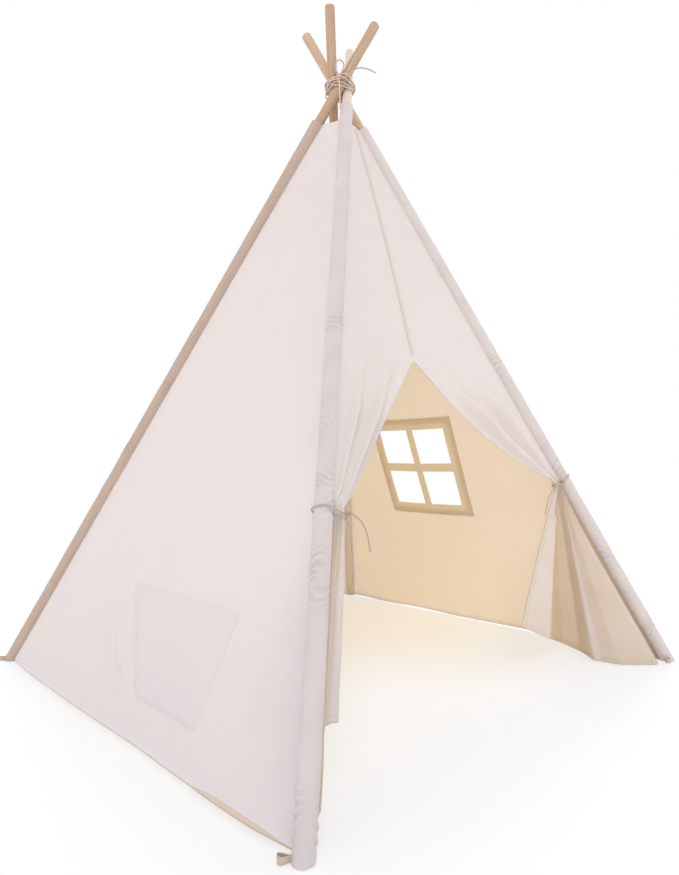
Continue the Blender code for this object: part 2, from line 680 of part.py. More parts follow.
def build_lashing_bow(winding):
    """The knot on the lashing's outer side, an upright loop and two loose ends."""
    outward = unit(np.array([*CORNERS["front_left"], 0.0]))
    side = np.cross(UP, outward)
    beside_knot = winding[np.abs(winding[:, 2] - CROSS_HEIGHT) < LASHING_PITCH]
    apart = KNOT_RADIUS + LASHING_CORD / 2 + SEAM_GAP
    stand = math.sqrt(max(0.0, apart**2 - (LASHING_PITCH / 2) ** 2))
    knot = CROSS_HEIGHT * UP + outward * (float((beside_knot @ outward).max()) + stand)
    build_knot("lashing_knot", knot, outward, side, "cord")
    seat = KNOT_RADIUS + SEAM_GAP
    loop = [
        knot + UP * seat - side * LASHING_CORD * 0.8,
        knot + UP * (seat + LASHING_CORD) - side * LASHING_CORD * 0.8,
        knot + UP * BOW_HEIGHT * 0.45 - side * BOW_WIDTH * 0.35,
        knot + UP * BOW_HEIGHT * 0.80 - side * BOW_WIDTH * 0.40,
        knot + UP * BOW_HEIGHT,
        knot + UP * BOW_HEIGHT * 0.80 + side * BOW_WIDTH * 0.45,
        knot + UP * BOW_HEIGHT * 0.45 + side * BOW_WIDTH * 0.40,
        knot + UP * (seat + LASHING_CORD) + side * LASHING_CORD * 0.8,
        knot + UP * seat + side * LASHING_CORD * 0.8,
    ]
    add_cord("lashing_bow", smooth_route(loop, 2 * LASHING_CORD), LASHING_CORD, "cord", 2)
    start = knot + side * (KNOT_REACH + SEAM_GAP)
    sticking = [
        start,
        start + side * LASHING_CORD * 1.5,
        start + side * STICKING_END * 0.24 + UP * STICKING_END * 0.14,
        start + side * STICKING_END * 0.42 + UP * STICKING_END * 0.26,
        start + side * STICKING_END * 0.68 + UP * STICKING_END * 0.24,
        start + side * STICKING_END * 0.92 + UP * STICKING_END * 0.12,
    ]
    add_cord("lashing_end_1", smooth_route(sticking, 2.5 * LASHING_CORD), LASHING_CORD, "cord", 2)
    hanging = []
    for share in (0.0, 0.25, 0.5, 0.75, 1.0):
        height = float(knot[2]) - seat - HANGING_END * share
        pole_face = (CROSS_HEIGHT - height) * math.tan(LEAN) + SEAM_REACH / math.cos(LEAN)
        out = max(float(knot @ outward), pole_face + LASHING_CORD)
        hanging.append(outward * out + side * LASHING_CORD * share + UP * height)
    add_cord("lashing_end_2", smooth_route(hanging, 2.5 * LASHING_CORD), LASHING_CORD, "cord", 2)


def build_tab(corner):
    """A ribbon loop that lies on the floor beside the foot, sewn to its sleeve."""
    pole = POLES[corner]
    outward = unit(np.array([pole.foot[0], pole.foot[1], 0.0]))
    beside = np.cross(outward, UP)
    start = SLEEVE_RADIUS / math.cos(math.pi / ROUND_SIDES) / math.cos(LEAN) + SEAM_GAP
    low, high = TAB_CLOTH, TAB_CLOTH + TAB_HEIGHT
    profile = [(start - (low - TAB_CLOTH / 2) * math.tan(LEAN), low)]
    for angle in np.radians([-90, -45, 0, 45, 90]):
        out = start + TAB_LENGTH - TAB_HEIGHT / 2 + TAB_HEIGHT / 2 * math.cos(angle)
        profile.append((out, (low + high) / 2 + TAB_HEIGHT / 2 * math.sin(angle)))
    profile.append((start - (high - TAB_CLOTH / 2) * math.tan(LEAN), high))
    grid = np.array(
        [
            [pole.foot + beside * side * TAB_WIDTH + outward * out + UP * up for side in (-0.5, 0.5)]
            for out, up in profile
        ]
    )
    add_sheet(f"{corner}_corner_tab", grid, TAB_CLOTH, "tape")


def build_all():
    for corner in CORNERS:
        build_pole(corner)
        build_sleeve(corner)
        build_tab(corner)
    build_plain_wall("left_wall", WALLS["left"])
    build_plain_wall("back_wall", WALLS["back"])
    build_window_wall(WALLS["right"])
    build_window_frame(WALLS["right"])
    build_pocket(WALLS["left"])
    left, right = Curtain("left"), Curtain("right")
    for curtain in (left, right):
        curtain.build_panel()
        curtain.build_skirt()
        curtain.build_tie()
    build_seam_tape(left, right)
    build_lashing_bow(build_lashing())


clear_scene()
WALLS = {
    "left": Wall("back_left", "front_left", LEFT_WALL_BOW),
    "back": Wall("back_right", "back_left", WALL_BOW),
    "right": Wall("front_right", "back_right", WALL_BOW),
    "front": Wall("front_left", "front_right", APEX_BOW),
}
build_all()
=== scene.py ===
# %% [markdown]
# # A kids teepee, piece by piece
#
# The real object is a pyramid play tent: four wooden dowels in sewn cotton sleeves, lashed where
# they cross, with three walls and a door whose two halves are tied back. The measured frame comes
# from the CAD model. This lesson dresses it: cloth, cords, wood and light.

# %% The measured frame
import math

import bpy
import numpy as np
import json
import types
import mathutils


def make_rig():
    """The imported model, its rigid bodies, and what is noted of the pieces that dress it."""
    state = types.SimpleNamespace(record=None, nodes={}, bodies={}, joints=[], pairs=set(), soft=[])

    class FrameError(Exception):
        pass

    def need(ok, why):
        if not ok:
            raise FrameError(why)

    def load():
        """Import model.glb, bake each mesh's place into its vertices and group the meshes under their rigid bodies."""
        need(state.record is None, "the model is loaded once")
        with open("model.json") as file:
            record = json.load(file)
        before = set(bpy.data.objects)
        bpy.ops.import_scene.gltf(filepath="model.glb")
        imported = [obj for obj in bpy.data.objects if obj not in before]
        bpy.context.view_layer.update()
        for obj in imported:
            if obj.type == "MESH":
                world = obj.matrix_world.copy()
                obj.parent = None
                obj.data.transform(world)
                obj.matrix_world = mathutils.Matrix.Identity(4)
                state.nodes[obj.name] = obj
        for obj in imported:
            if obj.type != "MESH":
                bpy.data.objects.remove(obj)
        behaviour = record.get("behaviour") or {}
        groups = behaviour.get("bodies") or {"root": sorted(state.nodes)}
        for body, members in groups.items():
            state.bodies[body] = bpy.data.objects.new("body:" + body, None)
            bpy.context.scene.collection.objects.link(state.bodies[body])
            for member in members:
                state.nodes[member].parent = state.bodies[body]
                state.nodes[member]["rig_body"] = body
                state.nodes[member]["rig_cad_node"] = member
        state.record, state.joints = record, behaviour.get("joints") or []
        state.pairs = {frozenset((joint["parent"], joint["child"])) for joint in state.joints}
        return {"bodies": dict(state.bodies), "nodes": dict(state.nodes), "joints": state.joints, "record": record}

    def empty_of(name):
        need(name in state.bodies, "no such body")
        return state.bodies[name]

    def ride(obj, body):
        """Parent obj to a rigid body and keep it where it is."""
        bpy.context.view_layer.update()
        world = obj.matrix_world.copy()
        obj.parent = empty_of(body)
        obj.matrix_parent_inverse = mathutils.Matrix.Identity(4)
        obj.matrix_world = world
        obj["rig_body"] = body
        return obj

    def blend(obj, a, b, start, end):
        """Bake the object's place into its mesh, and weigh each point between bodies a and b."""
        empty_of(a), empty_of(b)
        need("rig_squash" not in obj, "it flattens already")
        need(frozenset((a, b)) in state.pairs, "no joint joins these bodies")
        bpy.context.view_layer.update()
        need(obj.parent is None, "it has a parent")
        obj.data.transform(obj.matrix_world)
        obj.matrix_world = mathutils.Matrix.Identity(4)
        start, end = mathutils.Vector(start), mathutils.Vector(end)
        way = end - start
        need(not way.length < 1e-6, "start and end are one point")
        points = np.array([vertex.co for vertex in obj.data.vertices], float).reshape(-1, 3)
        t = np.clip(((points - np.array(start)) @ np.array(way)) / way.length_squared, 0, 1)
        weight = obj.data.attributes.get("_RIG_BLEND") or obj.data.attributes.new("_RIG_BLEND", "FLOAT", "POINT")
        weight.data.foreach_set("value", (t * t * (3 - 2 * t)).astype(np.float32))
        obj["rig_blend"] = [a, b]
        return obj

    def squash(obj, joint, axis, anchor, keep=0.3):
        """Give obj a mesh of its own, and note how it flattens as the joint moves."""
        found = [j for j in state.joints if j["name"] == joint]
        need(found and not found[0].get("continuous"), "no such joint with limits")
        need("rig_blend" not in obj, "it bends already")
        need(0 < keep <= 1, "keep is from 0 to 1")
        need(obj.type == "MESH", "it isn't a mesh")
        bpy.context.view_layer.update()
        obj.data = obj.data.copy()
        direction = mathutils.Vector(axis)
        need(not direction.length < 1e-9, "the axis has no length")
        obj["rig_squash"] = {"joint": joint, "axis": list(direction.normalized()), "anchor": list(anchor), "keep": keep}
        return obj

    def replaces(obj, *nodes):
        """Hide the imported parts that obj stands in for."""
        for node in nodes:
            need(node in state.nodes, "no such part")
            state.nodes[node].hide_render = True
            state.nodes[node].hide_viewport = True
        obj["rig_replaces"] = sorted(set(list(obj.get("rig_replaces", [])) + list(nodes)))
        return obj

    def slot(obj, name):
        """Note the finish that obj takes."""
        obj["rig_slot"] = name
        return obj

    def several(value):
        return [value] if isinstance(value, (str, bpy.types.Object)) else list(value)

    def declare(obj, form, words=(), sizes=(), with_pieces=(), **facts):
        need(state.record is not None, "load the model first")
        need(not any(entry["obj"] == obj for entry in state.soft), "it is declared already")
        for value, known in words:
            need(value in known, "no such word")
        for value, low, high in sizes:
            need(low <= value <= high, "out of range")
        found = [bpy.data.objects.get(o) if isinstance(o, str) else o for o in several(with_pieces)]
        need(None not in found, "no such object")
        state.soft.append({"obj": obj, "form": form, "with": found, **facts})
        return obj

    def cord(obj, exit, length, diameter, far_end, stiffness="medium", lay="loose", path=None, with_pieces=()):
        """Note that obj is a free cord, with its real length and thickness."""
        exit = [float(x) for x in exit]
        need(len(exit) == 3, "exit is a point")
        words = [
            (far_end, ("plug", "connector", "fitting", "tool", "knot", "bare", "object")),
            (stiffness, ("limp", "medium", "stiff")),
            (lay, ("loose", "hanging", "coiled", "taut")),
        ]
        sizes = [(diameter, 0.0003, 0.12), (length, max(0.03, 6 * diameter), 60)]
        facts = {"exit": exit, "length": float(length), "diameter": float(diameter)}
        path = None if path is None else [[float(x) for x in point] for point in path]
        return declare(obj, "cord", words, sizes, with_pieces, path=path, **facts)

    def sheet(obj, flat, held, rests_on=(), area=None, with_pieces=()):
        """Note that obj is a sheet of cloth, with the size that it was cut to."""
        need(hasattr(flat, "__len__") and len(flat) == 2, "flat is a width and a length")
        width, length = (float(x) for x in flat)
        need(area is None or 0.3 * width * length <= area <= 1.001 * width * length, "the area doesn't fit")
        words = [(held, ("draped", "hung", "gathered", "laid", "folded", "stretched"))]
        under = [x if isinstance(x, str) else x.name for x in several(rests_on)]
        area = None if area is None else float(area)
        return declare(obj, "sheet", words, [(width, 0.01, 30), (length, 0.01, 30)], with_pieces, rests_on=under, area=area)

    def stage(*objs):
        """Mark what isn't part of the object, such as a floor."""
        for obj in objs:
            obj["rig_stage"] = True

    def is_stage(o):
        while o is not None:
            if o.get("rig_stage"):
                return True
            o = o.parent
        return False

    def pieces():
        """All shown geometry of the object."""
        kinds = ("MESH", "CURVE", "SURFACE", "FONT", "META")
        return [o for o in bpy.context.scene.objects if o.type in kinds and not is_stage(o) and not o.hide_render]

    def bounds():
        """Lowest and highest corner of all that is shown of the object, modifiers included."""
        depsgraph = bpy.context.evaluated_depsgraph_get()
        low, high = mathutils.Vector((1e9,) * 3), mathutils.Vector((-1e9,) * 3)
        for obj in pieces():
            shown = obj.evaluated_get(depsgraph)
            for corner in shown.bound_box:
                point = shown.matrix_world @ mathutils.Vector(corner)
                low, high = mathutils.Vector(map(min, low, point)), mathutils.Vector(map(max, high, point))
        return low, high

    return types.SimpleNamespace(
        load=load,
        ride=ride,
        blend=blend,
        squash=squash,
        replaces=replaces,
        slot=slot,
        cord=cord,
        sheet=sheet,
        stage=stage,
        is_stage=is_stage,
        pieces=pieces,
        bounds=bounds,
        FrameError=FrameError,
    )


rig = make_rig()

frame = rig.load()
cad_low, cad_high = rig.bounds()
print("CAD box in mm:", [round(1000 * (high - low), 1) for low, high in zip(cad_low, cad_high)])

# %% [markdown]
# ## Camera
#
# A photograph can be rebuilt only from where it was taken. The four feet and the four pole tips
# give eight points whose places in the picture are known, and the camera below is the one that puts
# all eight there. Its axis doesn't meet the middle of the picture, so the lens is shifted a little.

# %% The camera
PHOTO_WIDTH, PHOTO_HEIGHT = 679, 875
FOCAL_PIXELS, AXIS_PIXEL = 641.94, (372.85, 444.68)
CAMERA_PLACE, CAMERA_YAW, CAMERA_PITCH = (-1.1254, -1.2508, 0.5032), 0.7845, 0.032


def place_object(name, data):
    """An object for a mesh, a lamp or the camera, put into the scene."""
    made = bpy.data.objects.new(name, data)
    bpy.context.scene.collection.objects.link(made)
    return made


lens = bpy.data.cameras.new("camera")
lens.sensor_width = 36.0
lens.lens = lens.sensor_width * FOCAL_PIXELS / PHOTO_HEIGHT
lens.shift_x = (PHOTO_WIDTH / 2 - AXIS_PIXEL[0]) / PHOTO_HEIGHT
lens.shift_y = (AXIS_PIXEL[1] - PHOTO_HEIGHT / 2) / PHOTO_HEIGHT
camera = place_object("camera", lens)
camera.location = CAMERA_PLACE
camera.rotation_euler = (math.pi / 2 + CAMERA_PITCH, 0.0, -CAMERA_YAW)
bpy.context.scene.camera = camera
print(f"lens {lens.lens:.2f} mm, shift {lens.shift_x:.4f}, {lens.shift_y:.4f}")

# %% [markdown]
# ## The poles as straight lines
#
# Every other piece hangs from the four poles, so their axes come first. Each leans in from its
# corner and passes its neighbours at a small distance. A point on an axis is the foot plus the
# axis's direction times the distance from the floor.

# %% Pole axes
BASE_WIDTH, CROSS_HEIGHT, POLE_LENGTH = 1.200, 1.500, 1.905
POLE_RADIUS, POLE_CLEARANCE, CAD_SIDES = 0.0125, 0.0004, 16
SLEEVE_TOE, SLEEVE_BORE, SECTION_GAP = 0.0025, 0.0141, 0.0004
UP = np.array([0.0, 0.0, 1.0])
CORNERS = {"front_left": (-1, -1), "back_left": (-1, 1), "front_right": (1, -1), "back_right": (1, 1)}
TURN = 2 * math.pi


def unit(vectors):
    """The vectors divided by their own lengths."""
    return vectors / np.linalg.norm(vectors, axis=-1, keepdims=True)


class Pole:
    """A pole's straight axis, with the names of the body and the sleeve that go with it."""

    def __init__(self, corner, offset):
        self.corner, self.body, self.sleeve = corner, f"{corner}_frame", f"{corner}_sleeve_sewn"
        self.foot = np.array([*CORNERS[corner], 0.0]) * BASE_WIDTH / 2
        through = CROSS_HEIGHT * UP + offset * np.cross(unit(-self.foot), UP)
        self.way = unit(through - self.foot)
        self.crossing = float(np.linalg.norm(through - self.foot))
        self.side = unit(np.cross(self.way, UP))
        self.over = np.cross(self.side, self.way)

    def at(self, reach):
        return self.foot + np.multiply.outer(reach, self.way)

    def at_height(self, height):
        return self.at(np.asarray(height) / self.way[2])

    def square(self, vector):
        """The part of a vector that is square to the pole."""
        return vector - (vector @ self.way) * self.way

    def rings(self, reaches, radii, around):
        """Circles square to the axis: centre + radius * (cos t * side + sin t * over)."""
        turn = np.arange(around) * TURN / around
        circle = np.outer(np.cos(turn), self.side) + np.outer(np.sin(turn), self.over)
        return self.at(reaches)[..., None, :] + np.asarray(radii)[..., None] * circle


def axis_distance(one, two):
    """The distance of two skew lines: how far apart their feet are along the common normal."""
    return abs(float((two.foot - one.foot) @ unit(np.cross(one.way, two.way))))


wanted = 2 * POLE_RADIUS / math.cos(math.pi / CAD_SIDES) + POLE_CLEARANCE
offset = wanted
for _ in range(6):
    offset *= wanted / axis_distance(Pole("front_left", offset), Pole("back_left", offset))
POLES = {corner: Pole(corner, offset) for corner in CORNERS}
LEAN = math.acos(POLES["front_left"].way[2])
CROSSING = POLES["front_left"].crossing
print(f"the axes pass {1000 * wanted:.2f} mm apart and lean {math.degrees(LEAN):.1f} degrees")

# %% [markdown]
# ## From numbers to meshes
#
# A surface here is a grid of points worked out by a formula. Blender takes whole arrays of points,
# corners and texture coordinates at once, which is far quicker than adding them one at a time.


# %% Arrays into a mesh
def add_mesh(name, points, faces, finishes, uv=None, finish_numbers=None, marks=None, sharp=60):
    """A mesh object from a point array and arrays of face corners, three or four to a face.

    uv holds each corner's place on the cloth in metres, and marks hold one number for each point.
    """
    mesh = bpy.data.meshes.new(name)
    mesh.vertices.add(len(points))
    mesh.vertices.foreach_set("co", np.asarray(points, np.float32).ravel())
    corners = np.concatenate([group.ravel() for group in faces]).astype(np.int32)
    sizes = np.concatenate([np.full(len(group), group.shape[1]) for group in faces])
    mesh.loops.add(len(corners))
    mesh.loops.foreach_set("vertex_index", corners)
    mesh.polygons.add(len(sizes))
    mesh.polygons.foreach_set("loop_start", (np.cumsum(sizes) - sizes).astype(np.int32))
    if finish_numbers is not None:
        mesh.polygons.foreach_set("material_index", finish_numbers.astype(np.int32))
    if uv is not None:
        layer = mesh.uv_layers.new(name="cloth")
        layer.uv.foreach_set("vector", np.asarray(uv, np.float32).ravel())
    for key, values in (marks or {}).items():
        attribute = mesh.attributes.new(key, "FLOAT", "POINT")
        attribute.data.foreach_set("value", np.asarray(values, np.float32).ravel())
    mesh.update(calc_edges=True)
    mesh.shade_smooth()
    mesh.set_sharp_from_angle(angle=math.radians(sharp))
    for finish in finishes:
        mesh.materials.append(finish)
    return place_object(name, mesh)


def volume_sign(points, faces):
    """Positive where faces point outwards: the sum of corner products over each face's triangles."""
    total = 0.0
    for group in faces:
        for second in range(1, group.shape[1] - 1):
            a, b, c = (points[group[:, k]] for k in (0, second, second + 1))
            total += float((a * np.cross(b, c)).sum())
    return total


# %% [markdown]
# ## A finish is written as sums
#
# Shader nodes are easier to read as arithmetic. The small class below wraps a node's output, so
# that `a * b + 0.5` adds the Math nodes by itself. One method makes every other kind of node.


# %% Sockets with operators
def operator(name, swapped=False):
    """A method that makes a Math node out of a value and what stands on the other side of the sign."""
    def method(self, other):
        return self.nodes.maths(name, *((other, self) if swapped else (self, other)))
    return method


class Value:
    """A shader node's output that can be used in an expression."""

    def __init__(self, nodes, socket):
        self.nodes, self.socket = nodes, socket

    __add__, __radd__ = operator("ADD"), operator("ADD", swapped=True)
    __sub__, __rsub__ = operator("SUBTRACT"), operator("SUBTRACT", swapped=True)
    __mul__, __rmul__ = operator("MULTIPLY"), operator("MULTIPLY", swapped=True)

    def math(self, name, *others, clamp=False):
        return self.nodes.maths(name, self, *others, clamp=clamp)

    def __abs__(self):
        return self.math("ABSOLUTE")

    def wave(self, length):
        """A sine wave of this length."""
        return (self * (TURN / length)).math("SINE")

    def clamped(self):
        return self.math("ADD", 0.0, clamp=True)

    def line(self, at, width):
        """1 on the line where this value is `at`, falling to 0 half a width to each side."""
        return (1.0 - abs(self - at) * (2 / width)).clamped()

    def above(self, level, blur):
        """0 below the level and 1 above it, with a soft step."""
        return ((self - level) * (1 / blur) + 0.5).clamped()


class Nodes:
    """A node tree that is written as expressions."""

    def __init__(self, owner, output):
        owner.use_nodes = True
        self.tree = owner.node_tree
        self.end = self.tree.nodes[output]

    def node(self, kind, settings=None, inputs=None, output=0):
        """A new node with its settings, then its inputs, as constants or links."""
        made = self.tree.nodes.new(kind)
        for key, value in (settings or {}).items():
            setattr(made, key, value)
        for key, value in (inputs or {}).items():
            self.feed(made, key, value)
        return Value(self, made.outputs[output])

    def feed(self, node, key, value):
        """Links a value to a node's input, or sets a constant on it."""
        if isinstance(value, Value):
            self.tree.links.new(value.socket, node.inputs[key])
        else:
            node.inputs[key].default_value = value

    def maths(self, name, *values, clamp=False):
        settings = {"operation": name, "use_clamp": clamp}
        return self.node("ShaderNodeMath", settings, dict(enumerate(values)))

    def show(self, share, first, second):
        """Sends a mix of two shaders to the tree's output."""
        both = self.node("ShaderNodeMixShader", inputs={0: share, 1: first, 2: second})
        self.feed(self.end, "Surface", both)


class Finish(Nodes):
    """A material while its nodes are being made."""

    def __init__(self, name, **constants):
        self.material = bpy.data.materials.new(name)
        super().__init__(self.material, "Material Output")
        self.shader = self.tree.nodes["Principled BSDF"]
        self.body = Value(self, self.shader.outputs[0])
        for key, value in constants.items():
            self.feed(self.shader, key.replace("_", " "), value)

    def place(self, source="cloth"):
        """The x, y and z numbers of the cloth's own map in metres, or of the object's space."""
        if source == "object":
            vector = self.node("ShaderNodeTexCoord", output="Object")
        else:
            vector = self.node("ShaderNodeUVMap", {"uv_map": source})
        split = self.node("ShaderNodeSeparateXYZ", inputs={0: vector}).socket.node
        return [Value(self, split.outputs[k]) for k in range(3)]

    def mark(self, name):
        """A number stored on the mesh's points."""
        settings = {"attribute_name": name, "attribute_type": "GEOMETRY"}
        return self.node("ShaderNodeAttribute", settings, output="Fac")

    def noise(self, x, y, z=0.0, detail=2.0):
        """Smooth noise between 0 and 1 at a place whose numbers are given in steps of the noise."""
        vector = self.node("ShaderNodeCombineXYZ", inputs={0: x, 1: y, 2: z})
        inputs = {"Vector": vector, "Scale": 1.0, "Detail": detail}
        return self.node("ShaderNodeTexNoise", inputs=inputs)

    def mix(self, share, first, second):
        """A colour between two colours."""
        inputs = {0: share, 6: as_colour(first), 7: as_colour(second)}
        return self.node("ShaderNodeMix", {"data_type": "RGBA"}, inputs, output=2)

    def done(self, colour, height, roughness=None, glow=None, glow_share=0.0):
        """Links the colour, the bump height in metres and, for cloth, the light that passes through."""
        bump = self.node("ShaderNodeBump", inputs={"Strength": 1.0, "Distance": 1.0, "Height": height})
        self.feed(self.shader, "Base Color", colour)
        self.feed(self.shader, "Normal", bump)
        if roughness is not None:
            self.feed(self.shader, "Roughness", roughness)
        if glow is not None:
            through = self.node("ShaderNodeBsdfTranslucent", inputs={"Color": as_colour(glow)})
            self.show(glow_share, self.body, through)
        return self.material


def as_colour(colour):
    return colour if isinstance(colour, Value) else (*colour, 1.0)


# %% [markdown]
# ## Cotton canvas
#
# The walls are plain-woven cotton: a grid of threads a little under a millimetre apart, uneven
# where a thread is thicker, slightly mottled, and matt. Light comes through it, so the inside
# glows warm, and the inside face is painted a warmer colour for that glow as well. A hem is two
# layers folded and stitched, so less light comes through it: it is painted a little darker for that
# shade, and stands proud of the cloth by a thread's height. The cloth's own map is in metres, so
# that the weave and the stitches have their true size everywhere.

# %% Canvas, outside and inside
OUTSIDE_CLOTH, OUTSIDE_SHADE = (0.88, 0.85, 0.90), (0.83, 0.795, 0.845)
# The inside face is painted warmer than the outside: a painted glow of the light that comes through.
INSIDE_CLOTH_PAINTED_WARM, INSIDE_SHADE_PAINTED_WARM = (0.91, 0.83, 0.715), (0.83, 0.74, 0.615)
OUTSIDE_GLOW, INSIDE_GLOW = (0.97, 0.95, 0.94), (0.98, 0.89, 0.73)
OUTSIDE_SHARE, INSIDE_SHARE, POCKET_SHARE = 0.34, 0.74, 0.92
# The curtains are painted with the shade of their folds: tan deep in a fold, lighter on a ridge.
CURTAIN_CLOTH, CURTAIN_PAINTED_SHADE = (0.84, 0.80, 0.84), (0.66, 0.50, 0.30)
# Painted shadows: a dark line under every cut edge of the canvas, and a dark fold beside each door sleeve.
PAINTED_EDGE_SHADOW, PAINTED_FOLD_SHADOW = (0.50, 0.41, 0.35), (0.44, 0.33, 0.25)
THREAD, HEM_WIDTH, EDGE_SHADOW_WIDTH, FOLD_SHADOW_WIDTH = 0.0009, 0.014, 0.0018, 0.012
# A stitch's width and length, and how far each line of stitches is from its edge.
STITCH_WIDTH, STITCH_LENGTH, TAPE_STITCH_LENGTH = 0.0012, 0.0040, 0.0036
HEM_STITCHES, SEAM_STITCHES, POCKET_STITCHES, POCKET_EDGE = 0.012, 0.0035, 0.006, 0.001
# Near the front foot the left wall's hem has rolled outwards and shows its inner face, painted a darker tan for the
# shade under the roll.
HEM_ROLL, TURNED_HEM_IN_SHADE = 0.0080, (0.73, 0.595, 0.49)


def matt_cloth(name, thread, slub, blotch, share, relief):
    """The start of every cloth: its finish, a run along its diagonal, how light it is and how far it
    stands out. The last two come from the weave, from thick threads (slubs) and from blotches."""
    finish = Finish(name, Roughness=0.88, Sheen_Weight=0.12, Sheen_Roughness=0.6)
    x, y, _ = finish.place()
    weave = x.wave(thread) * y.wave(thread)
    slubs = (finish.noise(x * slub[0], y * slub[1]) + finish.noise(x * slub[1], y * slub[0])) * 0.5
    mottle = finish.noise(x * blotch[0], y * blotch[1], detail=3.0)
    lightness = slubs * 0.5 + mottle * 0.7 + weave * share - 0.10
    return finish, x + y, lightness, weave * relief[0] + slubs * relief[1]


def canvas(name, colour, shade, glow, glow_share, outline=False, folded=False):
    """Woven cotton. Its hems and stitches follow the distances stored on the mesh, and so do the painted shadow along
    its cut edges and, on the curtains, the painted shade and highlights of the folds.
    """
    start = matt_cloth(name, THREAD, (900, 55), (9, 9), share=0.05, relief=(0.00004, 0.00010))
    finish, run, lightness, height = start
    hem, seam = finish.mark("hem"), finish.mark("seam")
    layers = (1.0 - hem.above(HEM_WIDTH, STITCH_WIDTH)) * 0.25
    dashes = run.wave(STITCH_LENGTH).above(-0.2, 0.6)
    stitches = hem.line(HEM_STITCHES, STITCH_WIDTH) + seam.line(SEAM_STITCHES, STITCH_WIDTH)
    stitches = stitches * dashes
    if outline:
        pocket = finish.mark("pocket")
        stitches = stitches + pocket.line(POCKET_EDGE, 0.0040) * 1.2
        stitches = stitches + pocket.line(POCKET_STITCHES, 0.0016) * dashes
        # Inside the pocket's outline the wall is painted a little darker: shade for the light that the pocket holds
        # back.
        layers = layers + pocket.above(0.0, 0.003) * 0.05
    # The extra layers of hems and the pocket are painted darker, as shade for the light that they hold back.
    lightness = lightness - layers * 0.55 - stitches * 0.30
    if folded:
        # Painted shade in the curtain's fold valleys and painted highlights on its ridges.
        lightness = lightness + 0.2 - finish.mark("painted_fold_shade") * 0.75
    colours = finish.mix(lightness.clamped(), shade, colour)
    if outline:
        # The rolled hem's inner face, painted darker as in shade.
        rolled = (finish.mark("turned") * HEM_ROLL - hem).above(0.0, 0.0010)
        colours = finish.mix(rolled * 0.9, colours, TURNED_HEM_IN_SHADE)
    # A painted shadow along every cut edge of the canvas, where the hem's underside is in shade.
    colours = finish.mix((1.0 - hem.above(EDGE_SHADOW_WIDTH, 0.0008)) * 0.75, colours, PAINTED_EDGE_SHADOW)
    if folded:
        # A painted shadow in the deep fold where the curtain meets its sleeve.
        colours = finish.mix((1.0 - seam.above(FOLD_SHADOW_WIDTH, 0.006)) * 0.8, colours, PAINTED_FOLD_SHADOW)
    height = height + layers * 0.0004 - stitches * 0.0005
    return finish.done(colours, height, glow=glow, glow_share=glow_share - layers * 0.35)


outer = (OUTSIDE_CLOTH, OUTSIDE_SHADE, OUTSIDE_GLOW, OUTSIDE_SHARE)
outside_canvas = canvas("canvas_outside", *outer)
inside_canvas_painted_warm = canvas("canvas_inside_painted_warm", INSIDE_CLOTH_PAINTED_WARM, INSIDE_SHADE_PAINTED_WARM, INSIDE_GLOW, INSIDE_SHARE)
outline_canvas = canvas("canvas_over_pocket", *outer, outline=True)
curtain_fold_shaded_canvas = canvas("canvas_curtain", CURTAIN_CLOTH, CURTAIN_PAINTED_SHADE, *outer[2:], folded=True)
pocket_canvas = canvas("canvas_pocket", INSIDE_CLOTH_PAINTED_WARM, INSIDE_SHADE_PAINTED_WARM, OUTSIDE_GLOW, POCKET_SHARE)
print("canvas finishes:", len(outside_canvas.node_tree.nodes), "nodes each")

# %% [markdown]
# ## Sleeve cloth, tape, cord, wood and metal
#
# The sleeves are the same cotton in two layers, so they let less light through, and each one is
# painted darker or paler with the light and shade that it gets. The window's tape is folded canvas
# in four layers. The cords are twisted cotton, and a darker copy of the lashing cord is painted
# shade. The dowels are pale, unvarnished wood whose grain runs along them; the front-left tip is
# painted paler as a highlight and the back tips darker as shade. The ferrules are drawn steel.


# %% Sleeve and tape
def woven(name, colour, shade, glow_share, thread=THREAD, edge_stitch=None, shade_creases=False):
    """Plain woven cloth without hems, with an optional stitch line at a distance from its edges. Creased cloth is
    painted lighter on the crests of its creases and darker in their hollows.
    """
    start = matt_cloth(name, thread, (700, 60), (14, 6), share=0.06, relief=(0.00005, 0.00012))
    finish, run, lightness, height = start
    if shade_creases:
        # Painted light and shade: the crests of the creases lighter, their hollows darker.
        lightness = lightness + finish.mark("crease") * 0.45
    if edge_stitch:
        dashes = run.wave(TAPE_STITCH_LENGTH).above(-0.2, 0.6)
        stitches = finish.mark("hem").line(edge_stitch, STITCH_WIDTH) * dashes
        lightness = lightness - stitches * 0.35
        height = height - stitches * 0.0004
    colours = finish.mix(lightness.clamped(), shade, colour)
    return finish.done(colours, height, glow=INSIDE_GLOW, glow_share=glow_share)


# Each sleeve's colours are painted with the light and shade it gets: the left one tan as in shade, the back one pale as
# lit from inside.
SLEEVE_PAINTED_LIGHT = {
    "front_left": ("front", (0.82, 0.755, 0.75), (0.64, 0.56, 0.55), 0.10),
    "front_right": ("right", (0.84, 0.765, 0.745), (0.67, 0.58, 0.545), 0.10),
    "back_left": ("left", (0.64, 0.49, 0.405), (0.49, 0.365, 0.285), 0.10),
    "back_right": ("back", (0.93, 0.87, 0.81), (0.86, 0.79, 0.72), 0.05),
}
SLEEVE_FINISH = {corner: woven(f"sleeve_canvas_painted_light_{name}", *look, shade_creases=True)
                 for corner, (name, *look) in SLEEVE_PAINTED_LIGHT.items()}
window_tape = woven("folded_tape", (0.90, 0.80, 0.635), (0.82, 0.71, 0.545), 0.30, edge_stitch=0.003)
seam_tape = woven("seam_tape", (0.86, 0.80, 0.80), (0.79, 0.72, 0.71), 0.24, edge_stitch=0.0016)
